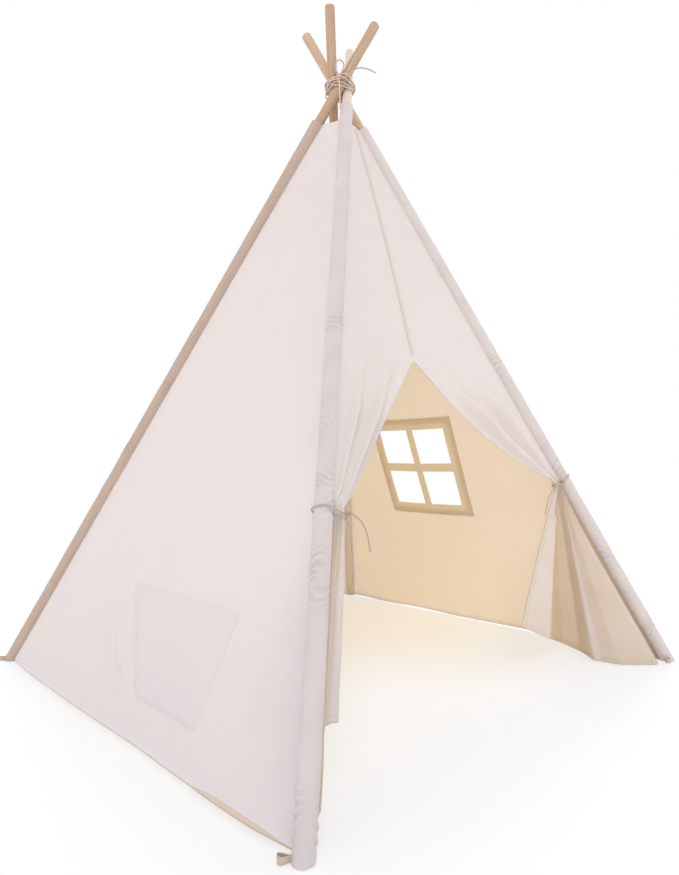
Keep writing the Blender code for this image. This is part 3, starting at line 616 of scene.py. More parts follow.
ribbon = woven("corner_ribbon", (0.72, 0.61, 0.53), (0.56, 0.45, 0.37), 0.08, thread=0.0007)
print(len(SLEEVE_FINISH), "sleeve finishes")

# %% Cord, wood and steel
CORD_PITCH, CORD_STRANDS, CORD_STEP, CORD_SIDES = 0.0065, 3, 0.0009, 15


def twisted_cord(name, colour, shade, packed=0.0):
    """Twisted cotton: dark grooves between the strands, fine fibres across them. Where turns lie side
    by side the light doesn't reach between them, so packed darkens a turn's upper and lower sides."""
    finish = Finish(name, Roughness=0.9, Sheen_Weight=0.2, Sheen_Roughness=0.5)
    around, along, _ = finish.place()
    strand = (around * CORD_STRANDS - along * (1 / CORD_PITCH)) * TURN
    ridge = strand.math("COSINE") * 0.5 + 0.5
    fibres = finish.noise(around * 9, along * 2600)
    between = 0.5 - (around * (2 * TURN)).math("COSINE") * 0.5
    lightness = (ridge * 0.75 + fibres * 0.5 + packed * 0.5 - 0.1 - between * packed).clamped()
    return finish.done(finish.mix(lightness, shade, colour), ridge * 0.0001 + fibres * 0.0001)


def dowel_wood(name, source, colour=(0.71, 0.52, 0.38), shade=(0.46, 0.285, 0.175)):
    """Pale wood: long streaks of grain along the dowel, with finer pores between them."""
    finish = Finish(name)
    x, y, z = finish.place(source)
    if source == "object":
        streaks = finish.noise(x * 260, y * 260, z * 5, detail=3.0)
        pores = finish.noise(x * 1400, y * 1400, z * 40)
    else:
        streaks = finish.noise(x * 260, y * 6, detail=3.0)
        pores = finish.noise(x * 1500, y * 45)
    lightness = (streaks * 1.5 - 0.25 + (pores - 0.5) * 0.5).clamped()
    colours = finish.mix(lightness, shade, colour)
    return finish.done(colours, pores * 0.00008, roughness=pores * 0.2 + 0.45)


def drawn_steel(name):
    """Thin steel tube with fine lines along it."""
    finish = Finish(name, Roughness=0.35, Metallic=1.0)
    x, y, z = finish.place("object")
    lines = finish.noise(x * 3000, y * 3000, z * 60)
    return finish.done(finish.mix(lines, (0.50, 0.50, 0.49), (0.66, 0.66, 0.65)), lines * 0.00001)


lashing_cord = twisted_cord("lashing_cord", (0.96, 0.80, 0.69), (0.26, 0.15, 0.10), packed=0.5)
# A darker copy of the lashing cord: painted shade for the loop and one end.
shaded_lashing_cord = twisted_cord("lashing_cord_painted_shade", (0.66, 0.53, 0.46), (0.34, 0.24, 0.19))
tie_cord = twisted_cord("tie_cord", (0.70, 0.58, 0.48), (0.32, 0.23, 0.17))
top_wood = dowel_wood("dowel_wood_turned", "cloth")
# Darker and paler copies of the same wood for the pole tips: painted shade on the back two and a painted highlight on
# the front-left one.
shaded_wood = dowel_wood("dowel_wood_back_painted_shade", "cloth", (0.64, 0.455, 0.32), (0.37, 0.22, 0.125))
highlight_wood = dowel_wood("dowel_wood_painted_highlight", "cloth", (0.84, 0.72, 0.64), (0.68, 0.54, 0.45))
core_wood = dowel_wood("dowel_wood", "object")
steel = drawn_steel("ferrule_steel")
print("three cords, four woods and one steel")

# %% [markdown]
# ## Twisted cords
#
# A cord is a tube along a path. Its section is round with a shallow groove between each pair of
# strands, and the section turns as it goes along, which makes the strands. The ends are rounded
# off over one radius.


# %% A tube along a path
def tube_corners(count, around, closed_path):
    """For each corner of a tube's faces, the number of its ring and its step round the ring. The
    faces are quads, then the triangles of both end fans, whose last corner is the fan's middle."""
    row, column = np.meshgrid(np.arange(count - (not closed_path)), np.arange(around), indexing="ij")
    rings = [np.stack([row, row, row + 1, row + 1], axis=-1).reshape(-1, 4)]
    steps = [np.stack([column, column + 1, column + 1, column], axis=-1).reshape(-1, 4)]
    if not closed_path:
        turn = np.arange(around)
        rings.append(np.repeat([0, count - 1], around)[:, None].repeat(3, axis=1))
        steps.append(np.concatenate([np.stack([turn + first, turn + last, turn], axis=-1)
                                     for first, last in ((1, 0), (0, 1))]))
    return rings, steps


def add_skin(name, rings, reaches, finish, ends=None, closed_path=False, sharp=60, marks=None,
             girth=1.0):
    """A closed skin over rings of points. Its map is the share of the way round times the girth,
    and the reach in metres."""
    count, around = rings.shape[:2]
    levels, steps = tube_corners(count, around, closed_path)
    faces = [level % count * around + step % around for level, step in zip(levels, steps)]
    points = rings.reshape(-1, 3)
    if not closed_path:
        faces[1][:, 2] = np.repeat([len(points), len(points) + 1], around)
        points = np.concatenate([points, ends or (rings[0].mean(axis=0), rings[-1].mean(axis=0))])
    marks = {key: np.append(value, [0.0, 0.0]) for key, value in (marks or {}).items()}
    reaches = np.append(reaches, 2 * reaches[-1] - reaches[-2])
    maps = [np.stack([step / around * girth, reaches[level]], axis=-1)
            for level, step in zip(levels, steps)]
    if volume_sign(points, faces) < 0:
        faces, maps = ([group[:, ::-1] for group in groups] for groups in (faces, maps))
    uv = np.concatenate([group.reshape(-1, 2) for group in maps])
    return add_mesh(name, points, faces, [finish], uv=uv, marks=marks, sharp=sharp)


def run_length(path):
    """The distance along a path up to each of its points."""
    return np.concatenate([[0.0], np.cumsum(np.linalg.norm(np.diff(path, axis=0), axis=1))])


def points_between(stops, run, path):
    """A path's points at some stops, where run holds the place of each of its own points."""
    return np.stack([np.interp(stops, run, path[:, k]) for k in range(3)], axis=1)


def smooth_route(knots, steps=40):
    """The smooth curve through a few points, by Catmull-Rom weights."""
    knots = np.asarray(knots, float)
    padded = np.vstack([2 * knots[0] - knots[1], knots, 2 * knots[-1] - knots[-2]])
    t = np.linspace(0, 1, steps, endpoint=False)[:, None]
    fine = [
        b + t * (c - a) / 2 + t**2 * (2 * a - 5 * b + 4 * c - d) / 2
        + t**3 * (3 * b - a - 3 * c + d) / 2
        for a, b, c, d in zip(padded, padded[1:], padded[2:], padded[3:])
    ]
    return np.vstack([*fine, knots[-1:]])


def add_cord(name, path, diameter, finish, closed_path=False):
    """A twisted cord: radius = half the diameter * (1 - groove), where the groove is a cosine of
    the angle times the strands less a full turn for each pitch of length."""
    run = run_length(path)
    path = points_between(np.linspace(0, run[-1], max(8, round(run[-1] / CORD_STEP))), run, path)
    if closed_path:
        path = path[:-1]
    run = run_length(path)
    before, after = np.roll(path, 1, axis=0), np.roll(path, -1, axis=0)
    tangent = unit(after - before if closed_path else np.gradient(path, axis=0))
    side = unit(np.cross(tangent, np.linalg.svd(tangent)[2][-1]))
    over = np.cross(side, tangent)
    turn = np.arange(CORD_SIDES) * TURN / CORD_SIDES
    phase = CORD_STRANDS * turn[None, :] - TURN * run[:, None] / CORD_PITCH
    radius = diameter / 2 * (0.90 + 0.10 * np.cos(phase))
    if not closed_path:
        inset = np.minimum(run, run[-1] - run) / (diameter / 2)
        radius = radius * np.sqrt(np.clip(1 - (1 - np.minimum(inset, 1)) ** 2, 0.03, 1))[:, None]
    turn = turn[:, None]
    around_it = np.cos(turn) * side[:, None] + np.sin(turn) * over[:, None]
    rings = path[:, None] + radius[:, :, None] * around_it
    return add_skin(name, rings, run, finish, closed_path=closed_path), path


# %% [markdown]
# ## The lashing
#
# Six turns of cord hold the poles together. Where the cord lies tight round several poles, its
# path is the outline of a band pulled round them: for each direction, the nearest of the band's
# straight support lines. A pulled knot is a real trefoil curve, drawn tight.

# %% Band, lashing and knot
SEAM_GAP, SLEEVE_RADIUS = 0.0003, 0.0163
SEAM_REACH = SLEEVE_RADIUS / math.cos(math.pi / CAD_SIDES) + SEAM_GAP
LASHING_CORD, LASHING_TURNS, LASHING_PITCH, LASHING_SPLAY_SHARE = 0.0038, 6, 0.0058, 0.02
LASHING_RISE = 0.008
# The lower turns start this high above the crossing and lose this much a turn. The cord then crosses
# over, half a turn long, and the upper turns are tilted rings whose tilt shrinks and shifts each turn.
UNDER_START, UNDER_PITCH, UNDER_WAVE = 0.016, 0.0100, 0.0012
OVER_START, OVER_STEP, OVER_FULL = 3.4, 0.5, 3.5
OVER_TILT, TILT_LOSS, TILT_SHIFT, OVER_DROP, OVER_SHARE = 0.017, 0.0045, 0.9, 0.001, 0.92
LASHING_START = math.pi * 1.25
KNOT_SIZE, KNOT_WAIST_SHARE, KNOT_LENGTH_SHARE = 0.0130, 0.88, 0.58
KNOT_RADIUS, KNOT_REACH = KNOT_SIZE / 2 * KNOT_WAIST_SHARE, KNOT_SIZE * KNOT_LENGTH_SHARE


def hull_radius(turn, centres, reach):
    """How far a tight band round circles lies from the origin at each angle."""
    lines = np.radians(np.arange(0, 360, 2))
    ways = np.stack([np.cos(lines), np.sin(lines)])
    support = (centres @ ways + np.reshape(reach, (-1, 1))).max(axis=0)
    facing = np.cos(turn[:, None] - lines[None, :])
    return np.where(facing > 0.3, support / np.maximum(facing, 0.3), np.inf).min(axis=1)


def soft_step(share):
    """From 0 to 1 with a level start and end."""
    share = np.clip(share, 0, 1)
    return share**2 * (3 - 2 * share)


def lashing_route():
    """Three and a half turns lie side by side on the poles; the rest cross over them as tilted rings.

    A turn's radius is that of a band round the four poles at its height, and the upper layer lies one
    cord further out. Its height is a wave of one period a turn, which is what tilts the ring."""
    turn = np.linspace(0, LASHING_TURNS * TURN, 48 * LASHING_TURNS + 1)
    turns = turn / TURN
    over, later = soft_step((turns - OVER_START) / OVER_STEP), turns - OVER_FULL
    under_height = UNDER_START - UNDER_PITCH * turns + UNDER_WAVE * np.sin(turn * 0.7 + 1)
    tilt = OVER_TILT - TILT_LOSS * later
    over_height = tilt * np.cos(turn - TILT_SHIFT + TILT_SHIFT * later) - OVER_DROP
    height = CROSS_HEIGHT + under_height * (1 - over) + over_height * over
    reach = POLE_RADIUS / math.cos(LEAN) + LASHING_CORD / 2 + SEAM_GAP
    reach = reach + over * LASHING_CORD * OVER_SHARE
    reach = reach + np.abs(height - CROSS_HEIGHT) * LASHING_SPLAY_SHARE
    turn = turn + LASHING_START
    centres = np.stack([pole.at_height(height)[:, :2] for pole in POLES.values()], axis=1)
    radius = np.array([hull_radius(np.array([angle]), middles, out)[0]
                       for angle, middles, out in zip(turn, centres, reach)])
    return np.stack([radius * np.cos(turn), radius * np.sin(turn), height + LASHING_RISE], axis=1)


def knot_path(middle, outward, along):
    """A trefoil: (sin t + 2 sin 2t, cos t - 2 cos 2t, -sin 3t), drawn in to the knot's size."""
    t = np.linspace(0, TURN, 181)
    forward = unit(outward)
    along = unit(along - (along @ forward) * forward)
    flat = np.stack([(np.sin(t) + 2 * np.sin(2 * t)) / 3.6, (np.cos(t) - 2 * np.cos(2 * t)) / 4.4,
                     -1.4 * np.sin(3 * t) / 2.6]) * KNOT_SIZE / 2
    return middle + flat.T @ np.stack([along, np.cross(forward, along), forward])


# %% The lashing's cords
BOW_HEIGHT, BOW_WIDTH, HANGING_END, STICKING_END = 0.047, 0.024, 0.092, 0.095


def finish_piece(piece, body, slot, node):
    """Rides on its body, stands for its CAD node and names the record's finish."""
    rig.ride(piece, body)
    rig.replaces(piece, node)
    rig.slot(piece, slot)


def held_cord(name, route, diameter, finish, body, node, closed_path=False):
    """A cord that is pulled tight, so it keeps its shape."""
    made, path = add_cord(name, route, diameter, finish, closed_path=closed_path)
    finish_piece(made, body, "cord", node)
    return made, path


def free_cord(name, route, diameter, finish, body, node):
    """A cord end that hangs free, declared with the length of its own path."""
    made, path = held_cord(name, smooth_route(route), diameter, finish, body, node)
    length = float(run_length(path)[-1])
    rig.cord(made, exit=path[0], length=length, diameter=diameter, far_end="bare",
            stiffness="limp", lay="hanging", path=path)
    print(f"{name}: {1000 * length:.0f} mm")


LASHING_BODY = "back_right_frame"
winding = lashing_route()
held_cord("lashing_turns", smooth_route(winding, 3), LASHING_CORD, lashing_cord, LASHING_BODY,
          "lashing_winding")
outward = unit(np.array([*CORNERS["front_left"], 0.0]))
beside = np.cross(UP, outward)
near_knot = winding[np.abs(winding[:, 2] - CROSS_HEIGHT - LASHING_RISE) < LASHING_PITCH]
apart = KNOT_RADIUS + LASHING_CORD / 2 + SEAM_GAP
stand = math.sqrt(apart**2 - (LASHING_PITCH / 2) ** 2)
top_knot = (CROSS_HEIGHT + LASHING_RISE) * UP + outward * (float((near_knot @ outward).max()) + stand)
held_cord("lashing_knot_drawn", knot_path(top_knot, outward, beside), LASHING_CORD, lashing_cord,
          LASHING_BODY, "lashing_knot", closed_path=True)

# %% The loop and the two ends of the lashing
seat, foot = KNOT_RADIUS + SEAM_GAP, LASHING_CORD * 0.8
loop = [top_knot + UP * rise + beside * aside for rise, aside in (
    (seat, -foot), (seat + LASHING_CORD, -foot),
    (BOW_HEIGHT * 0.45, -BOW_WIDTH * 0.35), (BOW_HEIGHT * 0.80, -BOW_WIDTH * 0.40), (BOW_HEIGHT, 0.0),
    (BOW_HEIGHT * 0.80, BOW_WIDTH * 0.45), (BOW_HEIGHT * 0.45, BOW_WIDTH * 0.40),
    (seat + LASHING_CORD, foot), (seat, foot),
)]
held_cord("lashing_loop", smooth_route(loop), LASHING_CORD, shaded_lashing_cord, LASHING_BODY, "lashing_bow")

start = top_knot + beside * (KNOT_REACH + SEAM_GAP)
sticking = [start, start + beside * LASHING_CORD * 1.5] + [
    start + beside * STICKING_END * aside + UP * STICKING_END * rise
    for aside, rise in ((0.24, 0.14), (0.42, 0.26), (0.68, 0.24), (0.92, 0.12))
]
free_cord("lashing_tail_1", sticking, LASHING_CORD, shaded_lashing_cord, LASHING_BODY, "lashing_end_1")

hanging = []
for share in (0.0, 0.25, 0.5, 0.75, 1.0):
    height = float(top_knot[2]) - seat - HANGING_END * share
    pole_face = (CROSS_HEIGHT - height) * math.tan(LEAN) + SEAM_REACH / math.cos(LEAN)
    out = max(float(top_knot @ outward), pole_face + LASHING_CORD)
    hanging.append(outward * out + beside * LASHING_CORD * share + UP * height)
free_cord("lashing_tail_2", hanging, LASHING_CORD, lashing_cord, LASHING_BODY, "lashing_end_2")

# %% [markdown]
# ## The door's tie cords
#
# Each half of the door is tied to its pole. The tie is sewn into the corner seam, goes round the
# sleeve and the gathered cloth, and is knotted at the waist. Its loose ends hang from the knot.

# %% Tie cords
WAIST, WAIST_DEPTH, CLOTH = {"left": 0.028, "right": 0.038}, 0.012, 0.0024
TIE_CORD, TIE_LOOSENESS = 0.0034, 0.0012
TIE_REACH, SIGN = {"left": 0.492, "right": 0.538}, {"left": 1.0, "right": -1.0}
BACK = np.array([0.0, 1.0, 0.0])
# For each loose end: how far it goes sideways, forwards and down.
END_SPANS = {
    "left": ((0.036, 0.004, 0.066), (0.010, 0.006, 0.110)),
    "right": ((0.080, 0.004, 0.074), (0.046, 0.006, 0.076), (0.020, 0.008, 0.092)),
}


def door_ways(side):
    """A front pole, the way across the door square to it, and the way into the tent."""
    pole = POLES[f"front_{side}"]
    across = unit(pole.square(np.array([SIGN[side], 0.0, 0.0])))
    inner = np.cross(pole.way, across)
    return pole, across, inner if inner[1] > 0 else -inner


def build_tie(side):
    """The tie's loop lies in the plane square to the pole; its ends hang in smooth curves."""
    pole, across, inner = door_ways(side)
    middle = pole.at(TIE_REACH[side])
    slack = SEAM_GAP + TIE_CORD / 2 + TIE_LOOSENESS
    tip = SEAM_REACH + WAIST[side] - WAIST_DEPTH / 2
    reach = np.array([SEAM_REACH + slack, (WAIST_DEPTH + CLOTH) / 2 + slack])
    seam = math.atan2(float(BACK @ inner), float(BACK @ across))
    clear = (CLOTH / 2 + 4 * SEAM_GAP) / reach[0]
    turn = np.linspace(seam - clear, seam + clear - TURN, 361)
    radius = hull_radius(turn, np.array([[0.0, 0.0], [tip, 0.0]]), reach)
    route = middle + np.outer(radius * np.cos(turn), across) + np.outer(radius * np.sin(turn), inner)
    held_cord(f"tie_{side}", route, TIE_CORD, tie_cord, pole.body, f"tieback_{side}")
    stand = reach[1] + TIE_CORD / 2 + 3 * SEAM_GAP + KNOT_RADIUS
    knot = middle + across * tip - inner * stand
    held_cord(f"tie_{side}_knot_drawn", knot_path(knot, -inner, across), TIE_CORD, tie_cord,
              pole.body, f"tieback_{side}_knot", closed_path=True)
    down = -unit(UP - (UP @ across) * across)
    leaves = ((across, KNOT_REACH), (down, KNOT_RADIUS), (-inner, KNOT_RADIUS))
    for number, ((sideways, forwards, drop), (way, away)) in enumerate(zip(END_SPANS[side], leaves), 1):
        start = knot + way * (away + SEAM_GAP)
        bend = start + way * TIE_CORD
        swing = np.array([SIGN[side] * sideways, -forwards, 0.0])
        route = [start] + [bend + swing * out - UP * drop * fall
                           for out, fall in ((0, 0), (0.45, 0.18), (0.80, 0.52), (1, 1))]
        free_cord(f"tie_{side}_tail_{number}", route, TIE_CORD, tie_cord, pole.body,
                  f"tieback_{side}_end_{number}")


for side in SIGN:
    build_tie(side)

# %% [markdown]
# ## Dowels and ferrules
#
# Only the top of each pole shows. It is a rod turned on its own axis, with its end rounded by a
# quarter circle. The lengths inside the sleeves and the ferrules over their joints keep their CAD
# shape and get wood and steel.

# %% Pole tops
TIP_ROUNDING, ROD_SIDES, ROD_RINGS = 0.006, 40, 30
SLEEVE_FLOOR = (SLEEVE_TOE + SLEEVE_BORE * math.sin(LEAN)) / math.cos(LEAN)
POLE_START = SLEEVE_FLOOR + SECTION_GAP
TOP_START = POLE_START + 3 * ((POLE_LENGTH - 3 * SECTION_GAP) / 4 + SECTION_GAP)
# The front-left tip takes the painted highlight and the back tips the painted shade.
TOP_WOOD = {"front_left": highlight_wood, "front_right": top_wood, "back_left": shaded_wood,
            "back_right": shaded_wood}

for corner, pole in POLES.items():
    high = POLE_START + POLE_LENGTH - TIP_ROUNDING
    curve = np.linspace(0, math.pi / 2 * 0.97, 9)[1:]
    reaches = np.append(np.linspace(TOP_START, high, ROD_RINGS), high + TIP_ROUNDING * np.sin(curve))
    radii = POLE_RADIUS - TIP_ROUNDING * np.append(np.zeros(ROD_RINGS), 1 - np.cos(curve))
    made = add_skin(f"{corner}_pole_top", pole.rings(reaches, radii[:, None], ROD_SIDES), reaches,
                    TOP_WOOD[corner], girth=TURN * POLE_RADIUS)
    finish_piece(made, pole.body, "dowel", f"{corner}_pole_section_4")
for name, node in frame["nodes"].items():
    if "pole_section" in name or "ferrule" in name:
        for slot in node.material_slots:
            slot.material = core_wood if "pole_section" in name else steel
print("the dowels are", round(2000 * POLE_RADIUS), "mm thick")

# %% [markdown]
# ## Sleeves
#
# A sleeve is a cloth tube, a little wider than its pole. Cloth tubes crumple in short rings where
# they are pushed along the pole, mostly near the ties and halfway up. Between those the tube is
# only slightly uneven. Its toe is shut and stands flat on the floor, and its top is an open hem.

# %% Sleeve shape
SLEEVE_STOP, FRONT_SLEEVE_STOP, SLEEVE_CLOTH = 0.115, 0.070, 0.0022
SLEEVE_SIDES, SLEEVE_RING_STEP, DEEPEST_CREASE = 56, 0.0020, 0.0013
SLEEVE_OUTSIDE = {corner: 0.0165 if corner == "front_left" else 0.0176 for corner in CORNERS}
# Each crumple's place along the sleeve, how far it spreads and how deep its creases are.
CRUMPLES = {
    "front_left": ((0.905, 0.022, 0.0030), (0.885, 0.035, 0.0016), (0.505, 0.030, 0.0022),
                   (0.545, 0.02, 0.0016), (0.385, 0.030, 0.0026), (0.345, 0.02, 0.0014),
                   (0.66, 0.04, 0.0008), (0.045, 0.028, 0.0034), (1.30, 0.04, 0.0010)),
    "back_left": ((0.62, 0.03, 0.0016), (0.82, 0.025, 0.0016), (0.20, 0.04, 0.0010),
                  (1.10, 0.03, 0.0010)),
    "front_right": ((0.56, 0.035, 0.0020), (0.89, 0.030, 0.0018), (0.30, 0.06, 0.0014),
                    (0.10, 0.04, 0.0018), (1.15, 0.03, 0.0010)),
    "back_right": ((0.60, 0.04, 0.0014), (0.85, 0.04, 0.0014), (0.25, 0.05, 0.0012)),
}
CREASE_PITCH, RIPPLE_WAVES = 0.014, 7


def ripples(x, y, size, seed):
    """Smooth noise of about this size in metres, from -1 to 1: sine waves in many directions, added."""
    chance = np.random.default_rng(seed)
    total = 0.0
    for _ in range(RIPPLE_WAVES):
        turn, length, phase = (chance.uniform(*ends) for ends in ((0, math.pi), (0.7, 1.5), (0, 7)))
        along = x * math.cos(turn) + y * math.sin(turn)
        total = total + np.sin(along * TURN / (size * length) + phase)
    return total / RIPPLE_WAVES**0.5 / 1.5


def sleeve_bulge(corner, turn, reach, seed):
    """How far the cloth stands out: slanted rings of creases near each crumple, on a gentle unevenness.
    A crease is 1 - 2 |sin| of the reach, which is round on top and sharp in its valley."""
    girth = turn * 0.016
    bulge = 0.0004 * ripples(girth, reach, 0.09, seed)
    for number, (place, spread, depth) in enumerate(CRUMPLES[corner]):
        near = np.exp(-(((reach - place) / spread) ** 2))
        slant = 0.007 * np.sin(turn + 2.1 * number + seed)
        slant = slant + 0.004 * np.sin(2 * turn + 40 * reach + number)
        wander = 1.1 * ripples(girth, reach, 0.045, seed + number)
        crease = 1 - 2 * np.abs(np.sin((reach + slant) * math.pi / CREASE_PITCH + wander))
        patch = np.clip(0.55 + 0.6 * np.sin(turn + 3 * number + reach * 30), 0, 1)
        bulge = bulge + depth * near * crease * patch
    return bulge


def build_sleeve(pole, seed):
    """Rings of the outside from the toe to the lip, then of the inside down to its floor."""
    middle, size = pole.foot, SLEEVE_OUTSIDE[pole.corner]
    top = pole.crossing - (FRONT_SLEEVE_STOP if pole.corner == "front_left" else SLEEVE_STOP)
    reaches = np.linspace(0.012, top - 0.001, round(top / SLEEVE_RING_STEP))
    turn = np.arange(SLEEVE_SIDES) * TURN / SLEEVE_SIDES
    bulge = sleeve_bulge(pole.corner, turn[None, :], reaches[:, None], seed)
    narrow = 1 - 0.06 * np.exp(-reaches / 0.02)[:, None]
    outside = pole.rings(reaches, (size + np.maximum(bulge, -DEEPEST_CREASE)) * narrow, SLEEVE_SIDES)
    floor = outside[0] - np.outer(outside[0][:, 2] / pole.way[2], pole.way)
    toes = [middle + (floor - middle) * share for share in (0.35, 0.75, 0.97)]
    toes += [floor + UP * 0.0006 + (floor - middle) * 0.01]
    toes += [floor + (outside[0] - floor) * share for share in np.linspace(0.25, 0.85, 4)]
    lip = pole.rings(top, SLEEVE_BORE + SLEEVE_CLOTH * 0.55, SLEEVE_SIDES)
    down = np.array([top - 0.0012, top - 0.02, top / 2, SLEEVE_FLOOR + 0.002, SLEEVE_FLOOR])
    rings = np.concatenate([toes, outside, [lip], pole.rings(down, SLEEVE_BORE, SLEEVE_SIDES)])
    run = np.concatenate([[0, 0.004, 0.008, 0.009], np.linspace(0.010, 0.0119, 4), reaches, [top],
                          2 * top - down])
    # The crease mark paints the sleeve's crests lighter and its creases darker.
    crease_shading = np.pad(np.clip(bulge / 0.002, -1, 1), ((len(toes), 1 + len(down)), (0, 0)))
    made = add_skin(pole.sleeve, rings, run, SLEEVE_FINISH[pole.corner], sharp=75, girth=TURN * size,
                    ends=(middle, pole.at(SLEEVE_FLOOR)), marks={"crease": crease_shading})
    finish_piece(made, pole.body, "sleeve", f"{pole.corner}_sleeve")
    print(made.name, len(made.data.polygons), "faces")


for seed, pole in enumerate(POLES.values(), 20):
    build_sleeve(pole, seed)

# %% [markdown]
# ## A sheet of cloth
#
# Cloth has a front, a back and a cut edge. The grid's surface normal is the cross product of its
# two slopes, and each point is moved half the cloth's thickness along it, once each way. Cells
# can be left out for a window. Where a cell has no neighbour, a narrow rim closes the edge.

# %% Cloth from a grid
FABRIC = 0.0010


def facing(points, outside=None):
    """Unit normals of a grid of points, turned towards the given outside."""
    normal = unit(np.cross(np.gradient(points, axis=1), np.gradient(points, axis=0)))
    return normal if outside is None or float((normal @ outside).mean()) > 0 else -normal


def add_cloth(name, points, normal, finishes, cloth, keep=..., thickness=FABRIC, **marks):
    """Two layers half a thickness either side of the grid, with rims round every open edge."""
    rows, columns = points.shape[:2]
    back = rows * columns
    number = np.arange(back).reshape(rows, columns)
    cells = np.stack([number[:-1, :-1], number[:-1, 1:], number[1:, 1:], number[1:, :-1]], axis=-1)
    cells = cells[keep].reshape(-1, 4)
    place, normals = points.reshape(-1, 3), normal.reshape(-1, 3)
    turned = np.cross(place[cells[:, 1]] - place[cells[:, 0]], place[cells[:, 3]] - place[cells[:, 0]])
    if float((turned * normals[cells[:, 0]]).sum()) < 0:
        cells = cells[:, ::-1]
    edges = cells[:, [[0, 1], [1, 2], [2, 3], [3, 0]]].reshape(-1, 2)
    _, first, times = np.unique(edges.min(axis=1) * back + edges.max(axis=1),
                                return_index=True, return_counts=True)
    rim = edges[first[times == 1]]
    rims = np.stack([rim[:, 1], rim[:, 0], rim[:, 0] + back, rim[:, 1] + back], axis=-1)
    faces = np.concatenate([cells, cells[:, ::-1] + back, rims])
    numbers = np.repeat([0, 1, 0], [len(cells), len(cells), len(rims)])
    both = np.concatenate([place + normals * thickness / 2, place - normals * thickness / 2])
    used, compact = np.unique(faces, return_inverse=True)
    values = {key: np.tile(np.ravel(value), 2)[used] for key, value in marks.items()}
    uv = np.tile(np.asarray(cloth, float).reshape(-1, 2), (2, 1))[faces.ravel()]
    return add_mesh(name, both[used], [compact.reshape(faces.shape)], finishes, uv, numbers, values)


def cell_area(points, keep=...):
    """The area of a grid's cells, each as two triangles."""
    a, b, c, d = points[:-1, :-1], points[:-1, 1:], points[1:, 1:], points[1:, :-1]
    twice = np.linalg.norm(np.cross([b - a, b - c], [d - a, d - c]), axis=-1).sum(axis=0)
    return float((twice / 2)[keep].sum())


# %% [markdown]
# ## Walls
#
# A wall is the ruled surface between two poles, bowed in a little like every hanging cloth. It
# folds with its poles: each half rides on its own pole and flattens towards it, so that the two
# halves stay joined along the wall's middle line.

# %% The wall's formula
HEM_LIFT, TOP_HEM_DROP, FLARE_FADE = 0.0025, 0.006, 0.16
WALL_TOP = (CROSSING - SLEEVE_STOP - TOP_HEM_DROP) * math.cos(LEAN)
SIDE_KEEP, FRONT_KEEP = 0.3015, 0.375


class Wall:
    """middle(height) + along * across + inward * (belly - flare + lift), where the belly is
    bow * (1 - share across squared) * sin(pi * share up ** 0.7). The flare is how far the hem stands
    out, and fades upwards as exp(-up / FLARE_FADE)."""

    def __init__(self, start, end, bow, keep=SIDE_KEEP, flare=0.0):
        self.start, self.end, self.bow = POLES[start], POLES[end], bow
        self.keep, self.flare = keep, flare
        self.inward = unit(np.cross(self.span(HEM_LIFT), self.middle(WALL_TOP) - self.middle(HEM_LIFT)))
        if self.inward @ self.middle(HEM_LIFT) > 0:
            self.inward = -self.inward

    def middle(self, height):
        return (self.start.at_height(height) + self.end.at_height(height)) / 2

    def span(self, height):
        return self.end.at_height(height) - self.start.at_height(height)

    def half_width(self, height, reach=SEAM_REACH):
        span = self.span(height)
        turned = np.linalg.norm(np.cross(unit(span), self.start.way), axis=-1)
        return np.linalg.norm(span, axis=-1) / 2 - reach / turned

    def point(self, across, height, lift=0.0):
        share = np.clip(across / self.half_width(height), -1, 1)
        rise = np.clip((height - HEM_LIFT) / (WALL_TOP - HEM_LIFT), 0, 1)
        belly = self.bow * (1 - share**2) * np.sin(math.pi * rise**0.7)
        belly = belly - self.flare * (1 - share**8) * np.exp(-(height - HEM_LIFT) / FLARE_FADE)
        along = unit(self.span(height))
        return self.middle(height) + along * across[..., None] + self.inward * (belly + lift)[..., None]

    def hold(self, piece, pole, joint, slot, node):
        """Puts a piece on its pole. As the joint closes the piece is flattened towards the pole, square
        to it and to the hinge that the wall folds on."""
        finish_piece(piece, pole.body, slot, node)
        axis = unit(np.cross(np.cross(self.start.way, self.end.way), pole.way))
        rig.squash(piece, joint, axis=axis, anchor=pole.foot, keep=self.keep)


WALLS = {
    "left": Wall("back_left", "front_left", 0.010, flare=0.017),
    "back": Wall("back_right", "back_left", 0.030),
    "right": Wall("front_right", "back_right", 0.030),
    "front": Wall("front_left", "front_right", 0.030, FRONT_KEEP),
}
# The height gained for each metre up a wall's slope, which is steeper than the poles at the corners.
UP_SLOPE = unit(WALLS["front"].middle(WALL_TOP) - WALLS["front"].middle(HEM_LIFT))[2]
print(f"the walls are {1000 * (WALL_TOP - HEM_LIFT) / UP_SLOPE:.0f} mm up their slope")

# %% Wall wrinkles
SEWN_REACH, SEWN_FLAT = 0.0160, 0.006
# The depth in metres and the size of each kind of wrinkle, and how fast it fades from the seam or hem.
SOFT, SOFT_SIZE = 0.0016, 0.34
PUCKER, PUCKER_SIZE, PUCKER_FADE = 0.0009, 0.030, 0.022
HEM_WAVE, HEM_WAVE_SIZE, HEM_WAVE_FADE = 0.0040, 0.30, 0.09
HEM_RISE, HEM_RISE_SIZE, HEM_RISE_FADE = 0.0025, 0.42, 0.06
ROLL_PLACE, ROLL_SPREAD, ROLL_DEPTH, ROLL_FADE = 0.455, 0.105, 0.004, 0.009
